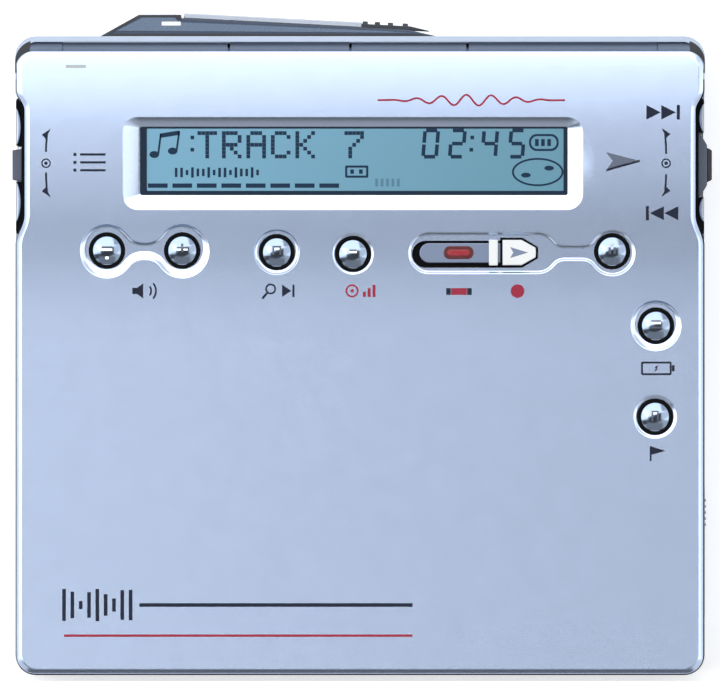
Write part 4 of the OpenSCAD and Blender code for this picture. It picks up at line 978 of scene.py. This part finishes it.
# A sound wave over the display, a pale dash, and plain stripes with a row of level bars at the front
x = np.linspace(2.0, 23.4, 150)
wave = 29.75 + 0.62 * np.sin(x * 2.2) * np.sin((x - 2) * np.pi / 21.4) ** 2
prints += ink(stroke(np.column_stack([x, wave]), 0.22), 1)
bars = np.arange(-33.8, -26.0, 0.95)
prints += inks(bars, -27.9, 0.42, 0.8 + 2.9 * np.abs(np.sin(bars * 0.9 + 0.4))) + inks([-32.45], 33.6, 2.3, 0.36, 3)
prints += inks([-9.6], -27.9, 31.2, 0.42) + inks([-13.9], -31.4, 39.8, 0.28, 1)
# Inks: matt and even, in four colours
print_navy = finish("navy pad print", "111a30", 0.6, grain=0.12, tint=0.1, Specular_IOR_Level=0.25)
print_red = finish("red pad print", "a02c44", 0.6, grain=0.12, tint=0.08, Specular_IOR_Level=0.25)
print_grey = finish("grey pad print", "5d677c", 0.5, grain=0.12, tint=0.06)
print_pale = finish("pale grey pad print", "b9c0c4", 0.6, grain=0.12, tint=0.04)
weld("lid_prints", prints, "lid", [print_navy, print_red, print_grey, print_pale])

# %% [markdown]
# Table and light. The recorder lies on a white sheet in a bright studio. One large soft light behind it and one on
# each side show up in the metal. Three cards overhead are seen by mirrors alone: a dark one, turned so that the left
# side of the lid is the lighter one, keeps the flat lid from burning out, and two narrow ones further down draw the
# grey and dark slopes at the rear of the dishes.

# %% Stage and light
def softbox(name, place, wide, high, radiance):
    """Area lamp that faces the origin. Its power is pi times its area times the brightness of its face."""
    lamp = bpy.data.lights.new(name, "AREA")
    lamp.shape, lamp.size, lamp.size_y = "RECTANGLE", wide, high
    lamp.energy = np.pi * wide * high * radiance
    box = placed(name, lamp)
    box.location = place
    box.rotation_euler = (-Vector(place)).to_track_quat("-Z", "Y").to_euler()


def at(tilt, turn, away=2.5):
    """Place away metres from the origin, tilt degrees from straight up, turned to the given heading in degrees."""
    t, h = np.radians((tilt, turn))
    return tuple(away * np.array([np.sin(t) * np.sin(h), np.sin(t) * np.cos(h), np.cos(t)]))


softbox("rear softbox", at(27.8, -20), 3.4, 2.4, 1.85)
softbox("left softbox", at(52, -90), 1.6, 2.4, 1.9)
softbox("right softbox", at(52, 90), 1.6, 2.4, 1.5)


def seen_by(tree, *kinds):
    """1 for rays of these kinds: the highest of their Light Path flags."""
    flags = node(tree, "LightPath").outputs
    seen = flags[kinds[0]]
    for kind in kinds[1:]:
        seen = node(tree, "Math", [(0, seen), (1, flags[kind])], operation="MAXIMUM")
    return seen


# The world is white to the camera and to mirrors and glass, and gives a fifth of that as fill light
world = bpy.data.worlds.new("studio")
bpy.context.scene.world = world
world.use_nodes = True
tree = world.node_tree
tree.nodes.clear()
white = seen_by(tree, "Is Camera Ray", "Is Glossy Ray", "Is Transmission Ray")
level = node(tree, "MapRange", [("Value", white)], To_Min=0.2, To_Max=1.0)
back = node(tree, "Background", [("Strength", level)], Color=(1, 1, 1, 1))
node(tree, "OutputWorld", [("Surface", back)])

# Table: white paper, lifted a little where it is seen, so that the shadow stays soft
sheet, tree = blank("white paper")
paper = node(tree, "BsdfDiffuse", Color=hexa("fafafa"))
lifted = seen_by(tree, "Is Camera Ray", "Is Glossy Ray")
glow = node(tree, "Emission", [("Strength", lifted)], Color=(0.35, 0.35, 0.35, 1))
both = node(tree, "AddShader", [(0, paper), (1, glow)])
node(tree, "OutputMaterial", [("Surface", both)])


def surface(name, grid, material):
    """Open surface through a grid of points in metres."""
    pts, faces = rings(grid, closed=False)
    mesh = bpy.data.meshes.new(name)
    mesh.from_pydata(pts.tolist(), [], faces.tolist())
    mesh.materials.append(material)
    return placed(name, mesh)


def card(name, t0, t1, glow, half, heading, away=3.5):
    """Strip from tilt t0 to t1, in degrees to the front of straight up, bent about the x axis and then turned."""
    turn, across = np.meshgrid(np.radians(np.linspace(t0, t1, 20)), np.linspace(-half, half, 13), indexing="ij")
    m, t = blank(name)
    light = node(t, "Emission", Color=(1, 1, 1, 1), Strength=glow)
    node(t, "OutputMaterial", [("Surface", light)])
    strip = surface(name, np.stack([across, -away * np.sin(turn), away * np.cos(turn)], -1), m)
    strip.rotation_euler = (0, 0, np.radians(heading))
    strip.visible_camera = strip.visible_diffuse = strip.visible_shadow = strip.visible_transmission = False
    return strip


x, y = np.meshgrid(np.linspace(-6, 6, 3), np.linspace(-6, 6, 3))
floor = surface("table_sheet", np.stack([x, y, np.full_like(x, -1e-4)], -1), sheet)
card("dark_card", -1.2, 30, 0.12, 6, 20)
card("grey_card", 30, 62, 0.5, 2, 0)
card("low_card", 62, 89, 0.14, 2, 0)
